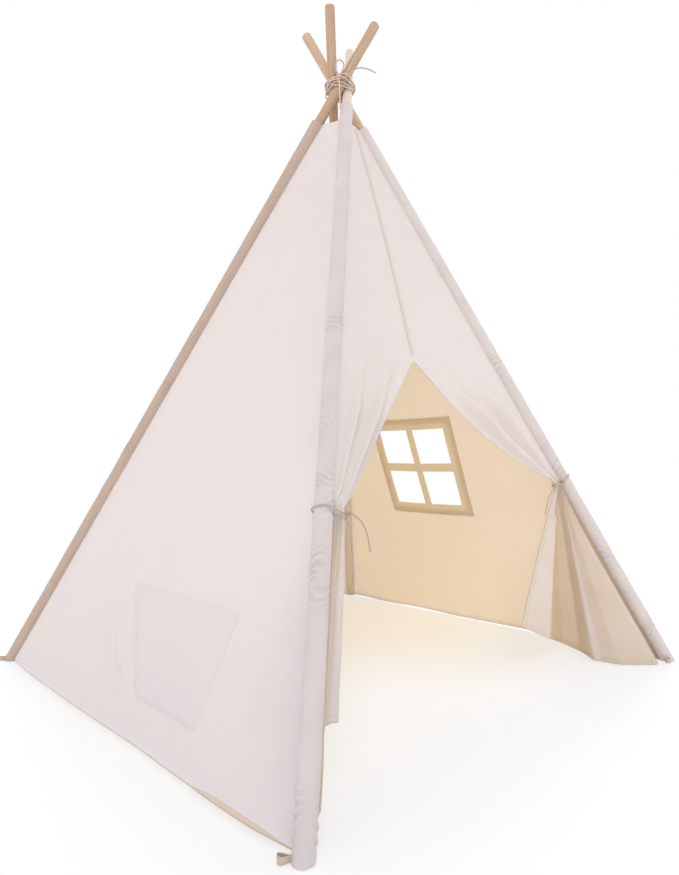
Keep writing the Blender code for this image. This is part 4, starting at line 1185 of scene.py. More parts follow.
# Each patch of crinkles: its place across and up the left wall, its spread and its depth.
CRINKLES = ((-0.03, 0.105, 0.035, 0.0022), (-0.11, 0.15, 0.045, 0.0020), (0.07, 0.060, 0.035, 0.0016),
            (0.24, 0.10, 0.05, 0.0010), (-0.20, 0.30, 0.10, 0.0010))
CRINKLE_PITCH, CRINKLE_SLANT, CRINKLE_WANDER = 0.040, 0.8, 0.012


def wall_lift(across, up, edge, seed):
    """Puckers beside the sleeves, a soft unevenness between them, and a wavy hem."""
    share, to_seam = np.abs(across) / edge, edge - np.abs(across)
    soft = SOFT * ripples(across, up, SOFT_SIZE, seed) * (1 - share**2)
    pucker = PUCKER * np.exp(-to_seam / PUCKER_FADE) * ripples(to_seam * 0.3, up, PUCKER_SIZE, seed + 1)
    wave = HEM_WAVE * np.exp(-up / HEM_WAVE_FADE) * ripples(across, up * 0.2, HEM_WAVE_SIZE, seed + 2)
    return (soft + pucker + wave * (1 - share**4)) * np.clip(to_seam / SEWN_FLAT, 0, 1)


def crinkles(across, up):
    """Small hand-pressed wrinkles beside the pocket: slanted, wandering waves in a few soft patches."""
    wander = CRINKLE_WANDER * ripples(across, up, 0.07, 83)
    wave = (across * CRINKLE_SLANT + up + wander) * TURN / CRINKLE_PITCH
    lift = 0 * across
    for place, level, spread, depth in CRINKLES:
        near = np.exp(-(((across - place) / spread) ** 2) - ((up - level) / spread) ** 2)
        lift = lift + depth * near * (np.cos(wave) + 0.3 * np.cos(2 * wave))
    return lift


def rolled_hem(across):
    """How far the hem has rolled outwards: 1 beside the front foot, and 0 along the rest."""
    return np.exp(-(((across - ROLL_PLACE) / ROLL_SPREAD) ** 4))


def hem_rise(across, up, seed):
    """Where the hem is off the floor: low waves that fade within a hand's width."""
    wave = np.clip(ripples(across, 0 * across, HEM_RISE_SIZE, seed), 0, 1)
    return HEM_RISE * wave * np.exp(-up / HEM_RISE_FADE)


def half_columns(edge, inner, outer_steps, inner_steps):
    """Places across a half wall from its middle, in metres: to an inner line, then to the edge."""
    near = inner[:, None] * np.linspace(0, 1, inner_steps + 1)
    far = inner[:, None] + (edge - inner)[:, None] * np.linspace(0, 1, outer_steps + 1)[1:]
    return np.concatenate([near, far], axis=1)


def wall_grid(wall, heights, inner_start, inner_end, seed, outer_steps=34, inner_steps=20):
    """The whole wall's grid, its flat map, its marks, and the number of its middle column."""
    edge = wall.half_width(heights, SEWN_REACH)
    start = -half_columns(edge, inner_start, outer_steps, inner_steps)[:, ::-1]
    end = half_columns(edge, inner_end, outer_steps, inner_steps)
    across = np.concatenate([start, end[:, 1:]], axis=1)
    height, wide = heights[:, None] + 0 * across, edge[:, None] + 0 * across
    up = (height - HEM_LIFT) / UP_SLOPE
    lift = wall_lift(across, up, wide, seed)
    marks = {"hem": np.minimum(up, up.max() - up), "seam": wide - np.abs(across)}
    if wall is WALLS["left"]:
        rolled = rolled_hem(across)
        lift = lift + crinkles(across, up) - ROLL_DEPTH * rolled * np.exp(-((up / ROLL_FADE) ** 2))
        marks.update(pocket=pocket_distance(across, height), turned=rolled)
    points = wall.point(across, height, lift)
    points[..., 2] += hem_rise(across, up, seed + 7)
    return points, np.stack([across, up], axis=-1), marks, start.shape[1] - 1


# %% Left and back walls
POCKET_MOUTH, POCKET_BASE, POCKET_SILL, POCKET_RIM = 0.409, 0.222, 0.065, 0.250
POCKET_MOUTH_OFFSET, POCKET_BASE_OFFSET, POCKET_SAG = 0.094, 0.181, 0.024


def pocket_edges(height):
    """The pocket's two sides across the wall at a height, which slant together downwards."""
    rise = (height - POCKET_SILL) / (POCKET_RIM - POCKET_SILL)
    middle = POCKET_BASE_OFFSET + (POCKET_MOUTH_OFFSET - POCKET_BASE_OFFSET) * rise
    half = (POCKET_BASE + (POCKET_MOUTH - POCKET_BASE) * rise) / 2
    return middle - half, middle + half


def pocket_distance(across, height):
    """Positive inside the pocket's outline, as the least distance from its four sides."""
    low, high = pocket_edges(height)
    return np.minimum.reduce([across - low, high - across, (height - POCKET_SILL) / UP_SLOPE,
                              (POCKET_RIM - height) / UP_SLOPE])


def add_halves(name, wall, middle, points, outside, finishes, cloth, keep, joint, slot, node,
               thickness=FABRIC, **marks):
    """Two cloths that share the wall's middle line, each on its own pole. Each is given with its
    columns of points and the cells that it keeps."""
    normal = facing(points, outside)
    for key, pole, columns, cells in (("a", wall.start, slice(None, middle + 1), slice(None, middle)),
                                      ("b", wall.end, slice(middle, None), slice(middle, None))):
        made = add_cloth(f"{name}_{key}", points[:, columns], normal[:, columns], finishes,
                         cloth[:, columns], keep[:, cells], thickness,
                         **{mark: value[:, columns] for mark, value in marks.items()})
        wall.hold(made, pole, joint, slot, node)
        yield made, columns, keep[:, cells]


def build_wall(name, outside, grid, window=()):
    """A wall in two halves, without the window's cells."""
    points, cloth, marks, middle = grid
    wall, across, length = WALLS[name], cloth[..., 0], float(cloth[..., 1].max())
    keep = np.ones((points.shape[0] - 1, points.shape[1] - 1), bool)
    if window:
        keep[window] = False
    for made, columns, kept in add_halves(f"{name}_wall_half", wall, middle, points, -wall.inward,
                                          [outside, inside_canvas_painted_warm], cloth, keep, f"{name}_fold",
                                          "canvas", f"{name}_wall", **marks):
        low, high = np.ptp(across[0, columns]), np.ptp(across[-1, columns])
        area = (low + high) / 2 * length - cell_area(points[:, columns], ~kept)
        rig.sheet(made, flat=(low, length), held="stretched", area=area,
                 rests_on=[wall.start.sleeve, wall.end.sleeve])
        print(f"{made.name}: {1000 * low:.0f} mm wide at the hem, {len(made.data.polygons)} faces")


wall_heights = HEM_LIFT + (WALL_TOP - HEM_LIFT) * np.linspace(0, 1, 211) ** 1.25
for name, seed, outside in (("left", 3, outline_canvas), ("back", 5, outside_canvas)):
    inner = WALLS[name].half_width(wall_heights, SEWN_REACH) * 0.4
    build_wall(name, outside, wall_grid(WALLS[name], wall_heights, inner, inner, seed, 62, 52))

# %% [markdown]
# ## The wall with the window
#
# The grid's lines are bent so that one rectangle of them is the window. Leaving out that
# rectangle's cells makes the hole, and the folded tape covers its cut edge and crosses it.

# %% Right wall
WINDOW_HEIGHT, WINDOW_WIDTH, WINDOW_SILL, WINDOW_OFFSET = 0.290, 0.320, 0.363, 0.040
WINDOW_TAPE, WINDOW_BAR, WINDOW_STEP, TAPE_CLOTH = 0.032, 0.024, 0.008, 0.0016
WINDOW_MIDDLE = WINDOW_SILL + WINDOW_HEIGHT / 2
hole_half, hole_rise = (WINDOW_WIDTH - WINDOW_TAPE) / 2, (WINDOW_HEIGHT - WINDOW_TAPE) / 2
hole_low, hole_high = WINDOW_MIDDLE - hole_rise, WINDOW_MIDDLE + hole_rise
low_rows, hole_rows, outer_steps, inner_steps = 37, 29, 34, 20
wall = WALLS["right"]
heights = np.concatenate([
    np.linspace(HEM_LIFT, hole_low, low_rows + 1)[:-1],
    np.linspace(hole_low, hole_high, hole_rows + 1)[:-1],
    np.linspace(hole_high, WALL_TOP, 86),
])
narrow = np.minimum(1.0, wall.half_width(heights, SEWN_REACH) / wall.half_width(hole_high, SEWN_REACH))
inner = (hole_half - WINDOW_OFFSET) * narrow, (hole_half + WINDOW_OFFSET) * narrow
hole = slice(low_rows, low_rows + hole_rows), slice(outer_steps, outer_steps + 2 * inner_steps)
grid = wall_grid(wall, heights, *inner, 11, outer_steps, inner_steps)
build_wall("right", outside_canvas, grid, window=hole)


# %% Window tape
def steps_between(stops, size):
    """Places from the first stop to the last, through each stop, about this far apart."""
    parts = [np.linspace(a, b, max(1, round((b - a) / size)) + 1)[:-1]
             for a, b in zip(stops, stops[1:])]
    return np.concatenate([*parts, stops[-1:]])


def tape_axis(middle, half, *stops):
    """One direction of the window: places along it, which steps are clear of tape, and how far each
    place is from the tape's nearest edge, or -1 where it is clear."""
    clear, bar = half - WINDOW_TAPE, WINDOW_BAR / 2
    side = np.array([bar, clear, clear + WINDOW_TAPE / 2, half])
    places = steps_between(np.sort([middle, *(middle - side), *(middle + side), *stops]), WINDOW_STEP)
    between, away = np.abs((places[1:] + places[:-1]) / 2 - middle), np.abs(places - middle)
    edge = np.where(away < bar, bar - away, -1.0)
    edge = np.where(away > clear, np.minimum(half - away, away - clear), edge)
    return places, (between > bar) & (between < clear), edge


def build_window(wall):
    """Tape round the hole and one bar each way: the grid of its edges with four panes left out."""
    across, clear_x, edge_x = tape_axis(WINDOW_OFFSET, WINDOW_WIDTH / 2, 0.0)
    height, clear_y, edge_y = tape_axis(WINDOW_MIDDLE, WINDOW_HEIGHT / 2)
    wide, tall = np.meshgrid(across, height)
    lift = CLOTH / 2 + SEAM_GAP + TAPE_CLOTH / 2 + 0.0006 * ripples(wide, tall, 0.08, 41)
    edge_x, edge_y = edge_x + 0 * wide, edge_y[:, None] + 0 * wide
    hem = np.where(edge_x < 0, edge_y, np.where(edge_y < 0, edge_x, np.maximum(edge_x, edge_y)))
    points, cloth = wall.point(wide, tall, lift), np.stack([wide, tall / UP_SLOPE], axis=-1)
    for made, columns, kept in add_halves("window_tape", wall, int(np.argmin(np.abs(across))), points,
                                          wall.inward, [window_tape] * 2, cloth,
                                          ~(clear_y[:, None] & clear_x), "right_fold", "tape",
                                          "window_frame", thickness=TAPE_CLOTH, hem=hem):
        width, length = float(np.ptp(across[columns])), float(np.ptp(height)) / UP_SLOPE
        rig.sheet(made, flat=(width, length), held="stretched", area=cell_area(points[:, columns], kept),
                 rests_on=["right_wall_half_a", "right_wall_half_b"])
        print(f"{made.name}: {1000 * width:.0f} mm of the window's {1000 * WINDOW_WIDTH:.0f} mm")


build_window(wall)

# %% [markdown]
# ## The pocket inside
#
# A pocket is a shorter piece of cloth with a little fullness, so it stands off the wall at its
# mouth and lies flat at its other three sides, where it is sewn down.

# %% Pocket
POCKET_CLOTH, POCKET_CREASE = 0.0016, 0.0008
POCKET_WIDTH_FULLNESS, POCKET_LENGTH_FULLNESS = 1.03, 1.02


def build_pocket(key, pole, rises, side, columns):
    """The part of the pocket on one side of the wall's middle line. It stands off the wall by
    sag * (1 - share**4) * a quarter sine of the way up to its mouth."""
    wall, tall = WALLS["left"], POCKET_RIM - POCKET_SILL
    low, high = np.clip(pocket_edges(POCKET_SILL + tall * rises), *side)
    across = low[:, None] + (high - low)[:, None] * np.linspace(0, 1, columns)
    rise = rises[:, None] + 0 * across
    height = POCKET_SILL + tall * rise
    left, right = pocket_edges(height)
    share = np.clip((across - (left + right) / 2) / ((right - left) / 2), -1, 1)
    sag = POCKET_SAG * np.sin(math.pi / 2 * np.minimum(1.0, 1.25 * rise))
    sag = sag + POCKET_CREASE * ripples(across, height, 0.05, 61)
    seat = CLOTH / 2 + SEAM_GAP + POCKET_CLOTH / 2
    points = wall.point(across, height, seat + sag * (1 - share**4))
    seam = np.minimum((1 - np.abs(share)) * (right - left) / 2, (height - POCKET_SILL) / UP_SLOPE)
    hem = np.minimum(seam + 0.006, (POCKET_RIM - height) / UP_SLOPE)
    made = add_cloth(f"pocket_{key}", points, facing(points, wall.inward), [pocket_canvas] * 2,
                     np.stack([across, height / UP_SLOPE], axis=-1), hem=hem, seam=seam)
    wall.hold(made, pole, "left_fold", "canvas", "inside_pocket")
    width, length = float((high - low).max()), (rises[-1] - rises[0]) * tall / UP_SLOPE
    area = float(np.trapz(high - low, rises)) / (rises[-1] - rises[0]) * length
    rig.sheet(made, flat=(width * POCKET_WIDTH_FULLNESS, length * POCKET_LENGTH_FULLNESS), held="hung",
             area=area * POCKET_WIDTH_FULLNESS, rests_on=["left_wall_half_b"])
    print(f"pocket part {key}: {1000 * width:.0f} by {1000 * length:.0f} mm")


low_base, low_mouth = pocket_edges(POCKET_SILL)[0], pocket_edges(POCKET_RIM)[0]
cross_rise = low_base / (low_base - low_mouth)
rises = np.concatenate([np.linspace(0, cross_rise, 12)[:-1], np.linspace(cross_rise, 1, 20)])
build_pocket("front", WALLS["left"].end, rises, (0.0, None), 30)
upper = np.append(cross_rise + 0.02, rises[12:])
build_pocket("back", WALLS["left"].start, upper, (None, 0.0), 18)

# %% [markdown]
# ## The gathered door
#
# Each half of the front wall starts at its sleeve. Above the door it runs flat to the seam. Below
# that its free edge curves down to the tie, where all of its width is drawn into a waist, and then
# falls to a loose corner. One rule gives the folds: cloth that is wider than the place it hangs
# in must go up and down, and the depth follows from how much is spare.

# %% One half of the door
FRONT_OUTSIDE = np.array([0.0, -1.0, 0.0])
APEX_HEIGHT, APEX_OFFSET, APEX_BOW = 0.757, -0.020, 0.030
PANEL_BOW_SHARE, FREE_EDGE_SAG = 0.03, 0.030
CURTAIN_FOLDS, FOLD_STEEPNESS_SHARE, FOLD_FADE_SHARE, TIE_NECK = 2.5, 0.22, 2.5, 0.0070
NECK_BLEND = 0.055
PLEAT_SOFTNESS, CREASES, CREASE_DEPTH, UNEVEN_DEPTH = 0.014, 17, 0.0007, 0.0016
# The pleats below each tie, from the sleeve to the free edge. The first two numbers are the pleat's
# place in the waist, across and inwards. The next three are its place at the hem: how far in from
# the foot, how deep into the tent and how high. The last is how far it bows across halfway down.
PLEATS = {
    "left": (
        (0.004, 0.007, 0.018, 0.051, 0.012, 0.0), (0.007, -0.005, 0.066, 0.042, 0.022, 0.0),
        (0.010, 0.007, 0.047, 0.099, 0.040, 0.0), (0.014, -0.006, 0.117, 0.097, 0.062, 0.0),
        (0.018, 0.006, 0.088, 0.142, 0.075, 0.0), (0.021, -0.006, 0.161, 0.131, 0.092, 0.003),
        (0.025, -0.003, 0.176, 0.131, 0.088, 0.004), (0.0275, 0.004, 0.190, 0.146, 0.090, 0.004),
        (0.028, 0.006, 0.163, 0.163, 0.098, 0.0),
    ),
    "right": (
        (0.010, 0.008, 0.030, 0.034, 0.004, 0.0), (0.020, -0.007, 0.050, 0.002, 0.004, 0.017),
        (0.021, -0.007, 0.074, -0.004, 0.004, 0.013), (0.022, -0.007, 0.138, 0.062, 0.004, 0.004),
        (0.024, -0.009, 0.151, 0.127, 0.004, 0.0), (0.025, 0.002, 0.112, 0.178, 0.006, 0.0),
        (0.027, 0.008, 0.150, 0.214, 0.030, 0.0), (0.030, 0.004, 0.236, 0.196, 0.060, 0.0),
        (0.034, -0.007, 0.305, 0.162, 0.080, 0.0), (0.038, -0.004, 0.405, 0.180, 0.125, 0.010),
    ),
}
# How dark the curtain is painted, as shade deep in a fold: places along the hem from the sleeve, 0,
# to the free edge, 1, and the depth of painted shade there. Below 0 is a painted highlight, on a ridge that catches the
# light.
PAINTED_FOLD_SHADE_TABLE = {
    "left": ((0, 0.114, 0.20, 0.229, 0.26, 0.373, 0.50, 0.54, 0.57, 0.666, 0.80, 0.84, 0.876, 0.93, 1),
             (1.2, 1.0, 0.3, -0.5, 0.3, 1.0, 0.3, -0.6, 0.2, 1.0, 0.2, -0.5, -0.3, 0.4, 0.1)),
    "right": ((0, 0.027, 0.07, 0.10, 0.25, 0.342, 0.359, 0.378, 0.46, 0.70, 0.79, 0.83, 1),
              (1.3, 1.0, -0.6, 0.05, 0.25, 0.10, -0.9, 0.15, 0.25, 1.0, 0.6, -0.1, 0.0)),
}


def soften(line, steps):
    """A moving mean of this many steps along a line, whose ends stay where they are."""
    weights = np.hanning(steps + 2)[1:-1]
    half = steps // 2
    before, after = 2 * line[:1] - line[half:0:-1], 2 * line[-1:] - line[-2:-half - 2:-1]
    padded, weights = np.concatenate([before, line, after]), weights / weights.sum()
    return np.stack([np.convolve(column, weights, "valid") for column in padded.T], axis=-1)


class Curtain:
    """A row of points starts on the sleeve, where u is 0, and ends on the seam or free edge, at 1."""

    def __init__(self, side):
        self.side, self.sign, self.tie, self.wall = side, SIGN[side], TIE_REACH[side], WALLS["front"]
        self.pole, self.across, self.inner = door_ways(side)
        self.upright = float(self.pole.way[2])
        self.corner = self.hem_place(PLEATS[side][-1])
        self.low = (HEM_LIFT + SEAM_REACH * abs(self.across[2])) / self.upright
        self.top, self.apex = WALL_TOP / self.upright, APEX_HEIGHT / self.upright
        self.joint, self.supports = f"{side}_fold", [self.pole.sleeve, f"tie_{side}"]

    def hem_place(self, pleats):
        return self.pole.foot + np.array(pleats)[..., 2:5] * (self.sign, 1, 1)

    def seam(self, height):
        share = (WALL_TOP - height) / (WALL_TOP - APEX_HEIGHT)
        line = self.wall.middle(height) + self.wall.inward * APEX_BOW * share**2
        return line + np.array([APEX_OFFSET * share - self.sign * SEAM_GAP, 0.0, 0.0])

    def height(self, reach):
        return min(WALL_TOP, reach * self.upright)

    def end(self, reach):
        """The row's free end: on the seam, on the door's curved edge, or at the waist."""
        if reach >= self.apex:
            return self.seam(self.height(reach))
        high = self.tie + TIE_NECK
        share = max(0.0, (reach - high) / (self.apex - high))
        sag = FREE_EDGE_SAG * math.sin(math.pi * share)
        waist = self.pole.at(min(reach, high)) + self.across * (SEAM_REACH + WAIST[self.side])
        return waist + (self.seam(APEX_HEIGHT) - waist) * share + sag * (self.wall.inward - UP) / 2

    def cloth_width(self, reach):
        return float(self.wall.half_width(self.height(reach)))

    def row(self, reach, columns):
        """Folds of an even pitch across the row, as deep as the spare cloth makes them. Close to the
        tie they turn into the waist's pleats."""
        end, base = self.end(reach), self.pole.at(reach)
        radial = unit(self.pole.square(end - base))
        sewn = base + radial * SEWN_REACH
        width = float(np.linalg.norm(end - sewn))
        normal = unit(np.cross(self.pole.way, radial))
        normal = normal if normal @ self.wall.inward > 0 else -normal
        u = np.linspace(0, 1, columns)
        spare = max(0.0, self.cloth_width(reach) / width - 1)
        fade = float(np.clip(FOLD_FADE_SHARE * (self.apex - reach) / (self.apex - self.tie), 0, 1))
        depth = fade * width / CURTAIN_FOLDS * min(FOLD_STEEPNESS_SHARE, math.sqrt(spare) / math.pi)
        folds = TURN * CURTAIN_FOLDS * u
        fold = depth * (np.sin(folds) + 0.25 * np.sin(2 * folds + 0.6)) * np.minimum(1.0, 4 * u) ** 2
        bow = (1 - fade) * width * PANEL_BOW_SHARE * 4 * u * (1 - u)
        line = sewn + np.outer(u, end - sewn) + np.outer(fold + bow, normal)
        gathered = float(soft_step(1 - (reach - self.tie) / NECK_BLEND))
        if gathered > 0:
            waist = self.pleats(columns)[0] + self.pole.way * (reach - self.tie)
            line = line * (1 - gathered) + waist * gathered
        return line

    def pleats(self, columns):
        """The waist's line, the hem's line and the bow between them. Each is straight from pleat to
        pleat, then softened. Columns are spread evenly along the hem."""
        table = np.vstack([np.zeros(6), PLEATS[self.side]])
        hem = self.hem_place(table[1:])
        sewn = self.pole.at(self.low) + unit(self.pole.square(hem[0] - self.pole.foot)) * SEWN_REACH
        hem = np.vstack([sewn, hem])
        waist = self.pole.at(self.tie) + np.outer(SEWN_REACH + table[:, 0], self.across)
        waist = waist + np.outer(table[:, 1], self.inner)
        run = run_length(hem)
        stops = np.linspace(0, run[-1], columns)
        steps = max(3, round(PLEAT_SOFTNESS / run[-1] * columns)) | 1
        return [soften(points_between(stops, run, line), steps)
                for line in (waist, hem, np.outer(table[:, 5], self.across))]

    def skirt(self, rows, columns):
        """Straight threads from the waist to the hem: waist + (hem - waist) * t, with the bow
        sin(pi * t ** 0.6), small radial creases below the tie and a slightly uneven hem."""
        waist, hem, bow = self.pleats(columns)
        t, u = np.linspace(0, 1, rows)[:, None] ** 1.15, np.linspace(0, 1, columns)
        down = t[..., None]
        points = waist + (hem - waist) * down + bow * np.sin(math.pi * down**0.6)
        crease = CREASE_DEPTH * np.exp(-t / 0.10) * np.sin(TURN * CREASES * u + 3 * np.sin(9 * u))
        wave = UNEVEN_DEPTH * t**2 * ripples(u * 0.5, t * 0.3, 0.11, 71)
        loose = (crease + wave) * np.minimum(1, 12 * u)
        points = points + loose[..., None] * facing(points, FRONT_OUTSIDE)
        width = self.cloth_width(self.low)
        up = (1 - t) * np.linalg.norm(hem - waist, axis=-1)
        across = width * u * (0.25 + 0.75 * t)
        free = np.where(t > 0.02, (1 - u) * width * (0.15 + 0.85 * t), 0.05)
        # How much painted shade each point gets, from its place across the hem.
        painted_fold_shade = np.interp(u, *PAINTED_FOLD_SHADE_TABLE[self.side]) * np.minimum(1, 6 * t)
        marks = {"hem": np.minimum(free, up), "seam": across, "painted_fold_shade": painted_fold_shade}
        return points, np.stack([across, up], axis=-1), marks

    def cloth(self, reaches, columns):
        """A grid of rows, its place on the flat cloth, and its distances from hem and seam."""
        points = np.array([self.row(reach, columns) for reach in reaches])
        widths = np.array([self.cloth_width(reach) for reach in reaches])[:, None]
        u = np.linspace(0, 1, columns)
        across, up = widths * u, reaches[:, None] + 0 * u
        free = np.where(up < self.apex, widths * (1 - u), 0.08)
        hem = np.minimum.reduce([free, up - self.low, self.top - up])
        return points, np.stack([across, up], axis=-1), {"hem": hem, "seam": across}


# %% Panels above the ties and curtains below them
def build_panel(curtain, columns=110):
    """The half wall from the tie to the top hem."""
    gathered = curtain.tie + TIE_NECK
    near = gathered + (curtain.apex - gathered) * np.linspace(0, 1, 90) ** 1.3
    reaches = np.concatenate([[curtain.tie], near, np.linspace(curtain.apex, curtain.top, 70)[1:]])
    points, cloth, marks = curtain.cloth(reaches, columns)
    made = add_cloth(f"door_half_{curtain.side}", points, facing(points, FRONT_OUTSIDE),
                     [outside_canvas, inside_canvas_painted_warm], cloth, **marks)
    curtain.wall.hold(made, curtain.pole, curtain.joint, "canvas", f"front_panel_{curtain.side}")
    # Reaches run along the pole, and the cloth is measured up the wall's slope.
    upright = curtain.upright / float(UP_SLOPE)
    width, length = float(cloth[0, -1, 0]), float(reaches[-1] - reaches[0]) * upright
    area = float(np.trapz(cloth[:, -1, 0], reaches)) * upright
    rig.sheet(made, flat=(width, length), held="hung", area=area, rests_on=curtain.supports)
    print(f"{made.name}: {1000 * width:.0f} mm of cloth in a {1000 * WAIST[curtain.side]:.0f} mm waist")


def build_skirt(curtain, rows=110, columns=170):
    """The gathered cloth below the tie. It turns with its sleeve at the sewn edge, and with the
    swinging curtain at the free one."""
    points, cloth, marks = curtain.skirt(rows, columns)
    made = add_cloth(f"curtain_{curtain.side}", points, facing(points, FRONT_OUTSIDE),
                     [curtain_fold_shaded_canvas, inside_canvas_painted_warm], cloth, **marks)
    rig.replaces(made, f"door_curtain_{curtain.side}")
    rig.slot(made, "canvas")
    away = curtain.pole.square(curtain.corner - curtain.pole.foot)
    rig.blend(made, curtain.pole.body, f"{curtain.side}_curtain",
             start=curtain.pole.foot + unit(away) * SEAM_REACH, end=curtain.pole.foot + away)
    # The width is that of the longest row, measured along its folds.
    width = float(np.linalg.norm(np.diff(points, axis=1), axis=-1).sum(axis=1).max())
    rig.sheet(made, flat=(width, float(cloth[..., 1].max())), held="gathered", area=cell_area(points),
             rests_on=curtain.supports)
    print(f"{made.name}: {1000 * width:.0f} mm wide along its folds at the hem")


door = {side: Curtain(side) for side in SIGN}
for curtain in door.values():
    build_panel(curtain)
    build_skirt(curtain)

# %% Seam tape above the door
SEAM_TAPE_WIDTH, SEAM_TAPE_CLOTH, TAPE_END_SHARE = 0.010, 0.0009, 0.12


def build_seam_tape(left, right):
    """A narrow strip over the seam, laid on the rows of both halves."""
    lift = CLOTH / 2 + 2 * SEAM_GAP + TAPE_CLOTH / 2
    span = left.top - left.apex
    trim = span / 6 * TAPE_END_SHARE
    rows = []
    for reach in np.linspace(left.apex + trim, left.top - trim, 90):
        ends = [curtain.row(reach, 73)[-2:] for curtain in (left, right)]
        sides = [end[1] + unit(end[0] - end[1]) * SEAM_TAPE_WIDTH / 2 for end in ends]
        rows.append([sides[0], (ends[0][1] + ends[1][1]) / 2, sides[1]])
    points = np.array(rows) - left.wall.inward * lift * 0.7
    half = SEAM_TAPE_WIDTH / 2
    cloth = np.stack(np.meshgrid([-half, 0.0, half], np.linspace(0, span, len(rows))), axis=-1)
    made = add_cloth("seam_tape_strip", points, facing(points, FRONT_OUTSIDE), [seam_tape] * 2,
                     cloth, thickness=SEAM_TAPE_CLOTH, hem=half - np.abs(cloth[..., 0]))
    left.wall.hold(made, right.pole, right.joint, "tape", "door_seam_tape")
    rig.sheet(made, flat=(SEAM_TAPE_WIDTH, float(span)), held="stretched",
             rests_on=["door_half_left", "door_half_right"])
    print(f"seam tape: {1000 * span:.0f} mm long")


build_seam_tape(door["left"], door["right"])

# %% [markdown]
# ## Ribbon loops at the feet
#
# A short ribbon is folded into a loop and sewn to each foot, so that the tent can be tied down. The
# loops lie on their edges and have been pushed about, so no two point the same way.

# %% Corner ribbons
TAB_WIDTH, TAB_LENGTH, TAB_CLOTH, TAB_HEIGHT, TAB_LIFT = 0.010, 0.019, 0.0012, 0.0060, 0.0008
RIBBON_WAYS = {"front_left": (-0.8, 0.6), "back_left": (-0.9, 0.45), "front_right": (-0.9, -0.45),
               "back_right": (1, 1)}


def build_ribbon(pole):
    """A teardrop in the floor's plane, made as high as the ribbon is wide: with t from 0 to a full
    turn, out = length * (1 - cos t) / 2 and aside = half the loop * sin t * (1 - cos t) / 1.3."""
    outward = unit(np.array([*RIBBON_WAYS[pole.corner], 0.0]))
    t = np.linspace(0, TURN, 49)
    out = SLEEVE_RADIUS - 0.002 + TAB_LENGTH * (1 - np.cos(t)) / 2
    aside = TAB_HEIGHT * np.sin(t) * (1 - np.cos(t)) / 1.3 - 0.0009 * np.cos(t / 2)
    path = pole.foot + np.outer(out, outward) + np.outer(aside, np.cross(outward, UP))
    up = np.linspace(TAB_LIFT, TAB_LIFT + TAB_WIDTH, 9)
    lean = 0.25 * up[None, :] * np.sin(t)[:, None]
    points = path[:, None] + up[None, :, None] * UP + lean[..., None] * outward
    run = run_length(path)
    cloth = np.stack(np.meshgrid(up, run), axis=-1)
    made = add_cloth(f"{pole.corner}_ribbon", points, facing(points), [ribbon] * 2, cloth,
                     thickness=TAB_CLOTH, hem=TAB_WIDTH / 2 - np.abs(cloth[..., 0] - TAB_WIDTH / 2))
    finish_piece(made, pole.body, "tape", f"{pole.corner}_corner_tab")
    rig.sheet(made, flat=(TAB_WIDTH, float(run[-1])), held="folded", rests_on=[pole.sleeve])


for pole in POLES.values():
    build_ribbon(pole)
print(len(POLES), "ribbon loops")

# %% [markdown]
# ## Studio
#
# A plain pale floor, a white surround and soft light from above and from the camera's left. The
# background is white only for the camera and for what shines, so it adds no light of its own.

# %% Floor and surround
FLOOR_REACH, FLOOR_DROP = 14.0, 0.0005
FLOOR, WARM_FLOOR = (0.95, 0.95, 0.95), (0.98, 0.87, 0.68)
WHITE, WARM_WHITE = (1.0, 1.0, 1.0), (1.0, 0.93, 0.80)
WARM_PLACE, WALL_FOOT = (0.33, 0.20), 0.59


def floor_finish():
    """Pale floor near the tent that turns into the white background further away. Inside the tent it
    has the warm tint of the light that comes through the cloth."""
    finish = Finish("studio_floor", Roughness=0.9)
    x, y, _ = finish.place("object")

    def away(from_x, from_y):
        across, along = x - from_x, y - from_y
        return (across * across + along * along).math("SQRT")

    inside = 1.0 - away(*WARM_PLACE).above(0.40, 0.50)
    inside = inside * (1.0 - x.above(WALL_FOOT, 0.03)) * (1.0 - y.above(WALL_FOOT, 0.03))
    finish.feed(finish.shader, "Base Color", finish.mix(inside, FLOOR, WARM_FLOOR))
    seen = finish.node("ShaderNodeLightPath", output="Is Camera Ray")
    lit = finish.mix(inside, WHITE, WARM_WHITE)
    white = finish.node("ShaderNodeEmission", inputs={"Color": lit, "Strength": 1.0})
    finish.show(seen * (away(0.0, 0.0).above(2.2, 2.0) * 0.4 + 0.6), finish.body, white)
    return finish.material


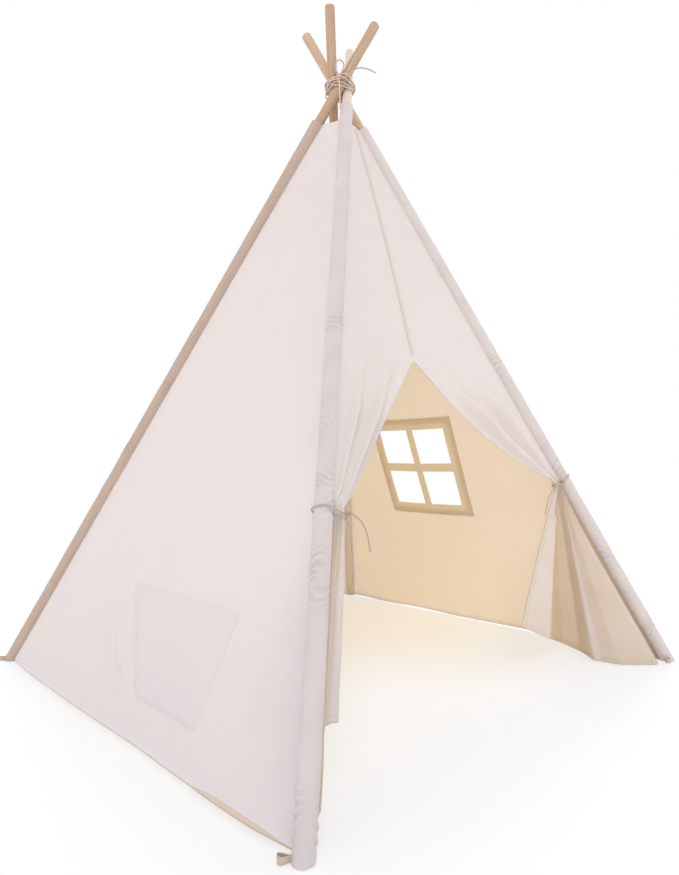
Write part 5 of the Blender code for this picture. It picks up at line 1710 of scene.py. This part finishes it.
corners = np.array([(-1, -1, 0), (1, -1, 0), (1, 1, 0), (-1, 1, 0)]) * FLOOR_REACH
corners, face = corners - UP * FLOOR_DROP, np.array([[0, 1, 2, 3]])
floor = add_mesh("studio_floor", corners, [face], [floor_finish()])
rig.stage(floor)
print(f"a floor {2 * FLOOR_REACH:.0f} m wide")

# %% Light
WORLD_STRENGTH, KEY_STRENGTH, RIM_STRENGTH = 0.83, 0.65, 1.9


def soft_world():
    """An even surround for light, and plain white for the camera, gloss and clear things."""
    world = bpy.data.worlds.new("studio")
    nodes = Nodes(world, "World Output")
    light = nodes.tree.nodes["Background"]
    nodes.feed(light, "Color", (0.98, 0.985, 1.0, 1.0))
    nodes.feed(light, "Strength", WORLD_STRENGTH)
    camera, gloss, clear = (nodes.node("ShaderNodeLightPath", output=f"Is {kind} Ray")
                            for kind in ("Camera", "Glossy", "Transmission"))
    white = nodes.node("ShaderNodeBackground", inputs={"Color": as_colour(WHITE)})
    seen = camera.math("MAXIMUM", gloss).math("MAXIMUM", clear)
    nodes.show(seen, Value(nodes, light.outputs[0]), white)
    return world


bpy.context.scene.world = soft_world()


def add_sun(name, strength, colour, turn, width):
    """A sun of a width in degrees, turned by x and z angles from pointing straight down."""
    lamp = bpy.data.lights.new(name, "SUN")
    lamp.energy, lamp.color, lamp.angle = strength, colour, math.radians(width)
    made = place_object(name, lamp)
    made.location = (0, 0, 3)
    made.rotation_euler = (math.radians(turn[0]), 0.0, math.radians(turn[1]))
    made.visible_camera = False


add_sun("key", KEY_STRENGTH, (0.96, 0.98, 1.0), (52, -44), 14)
add_sun("rim", RIM_STRENGTH, (1.0, 0.98, 0.95), (52, 135), 40)
bpy.context.scene.view_settings.view_transform = "Standard"
print("lamps: a soft surround and two broad suns")

# %% [markdown]
# ## Sizes
#
# The dressed tent has to stay in the space that the CAD model takes, so both boxes are kept.

# %% Sizes
import json

shown_low, shown_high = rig.bounds()
sizes = {"cad": [list(cad_low), list(cad_high)], "shown": [list(shown_low), list(shown_high)]}
with open("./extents.json", "w") as out:
    json.dump(sizes, out)
print("past the CAD box in mm:", [round(1000 * (a - b), 1) for a, b in zip(cad_low, shown_low)],
      [round(1000 * (b - a), 1) for a, b in zip(cad_high, shown_high)])
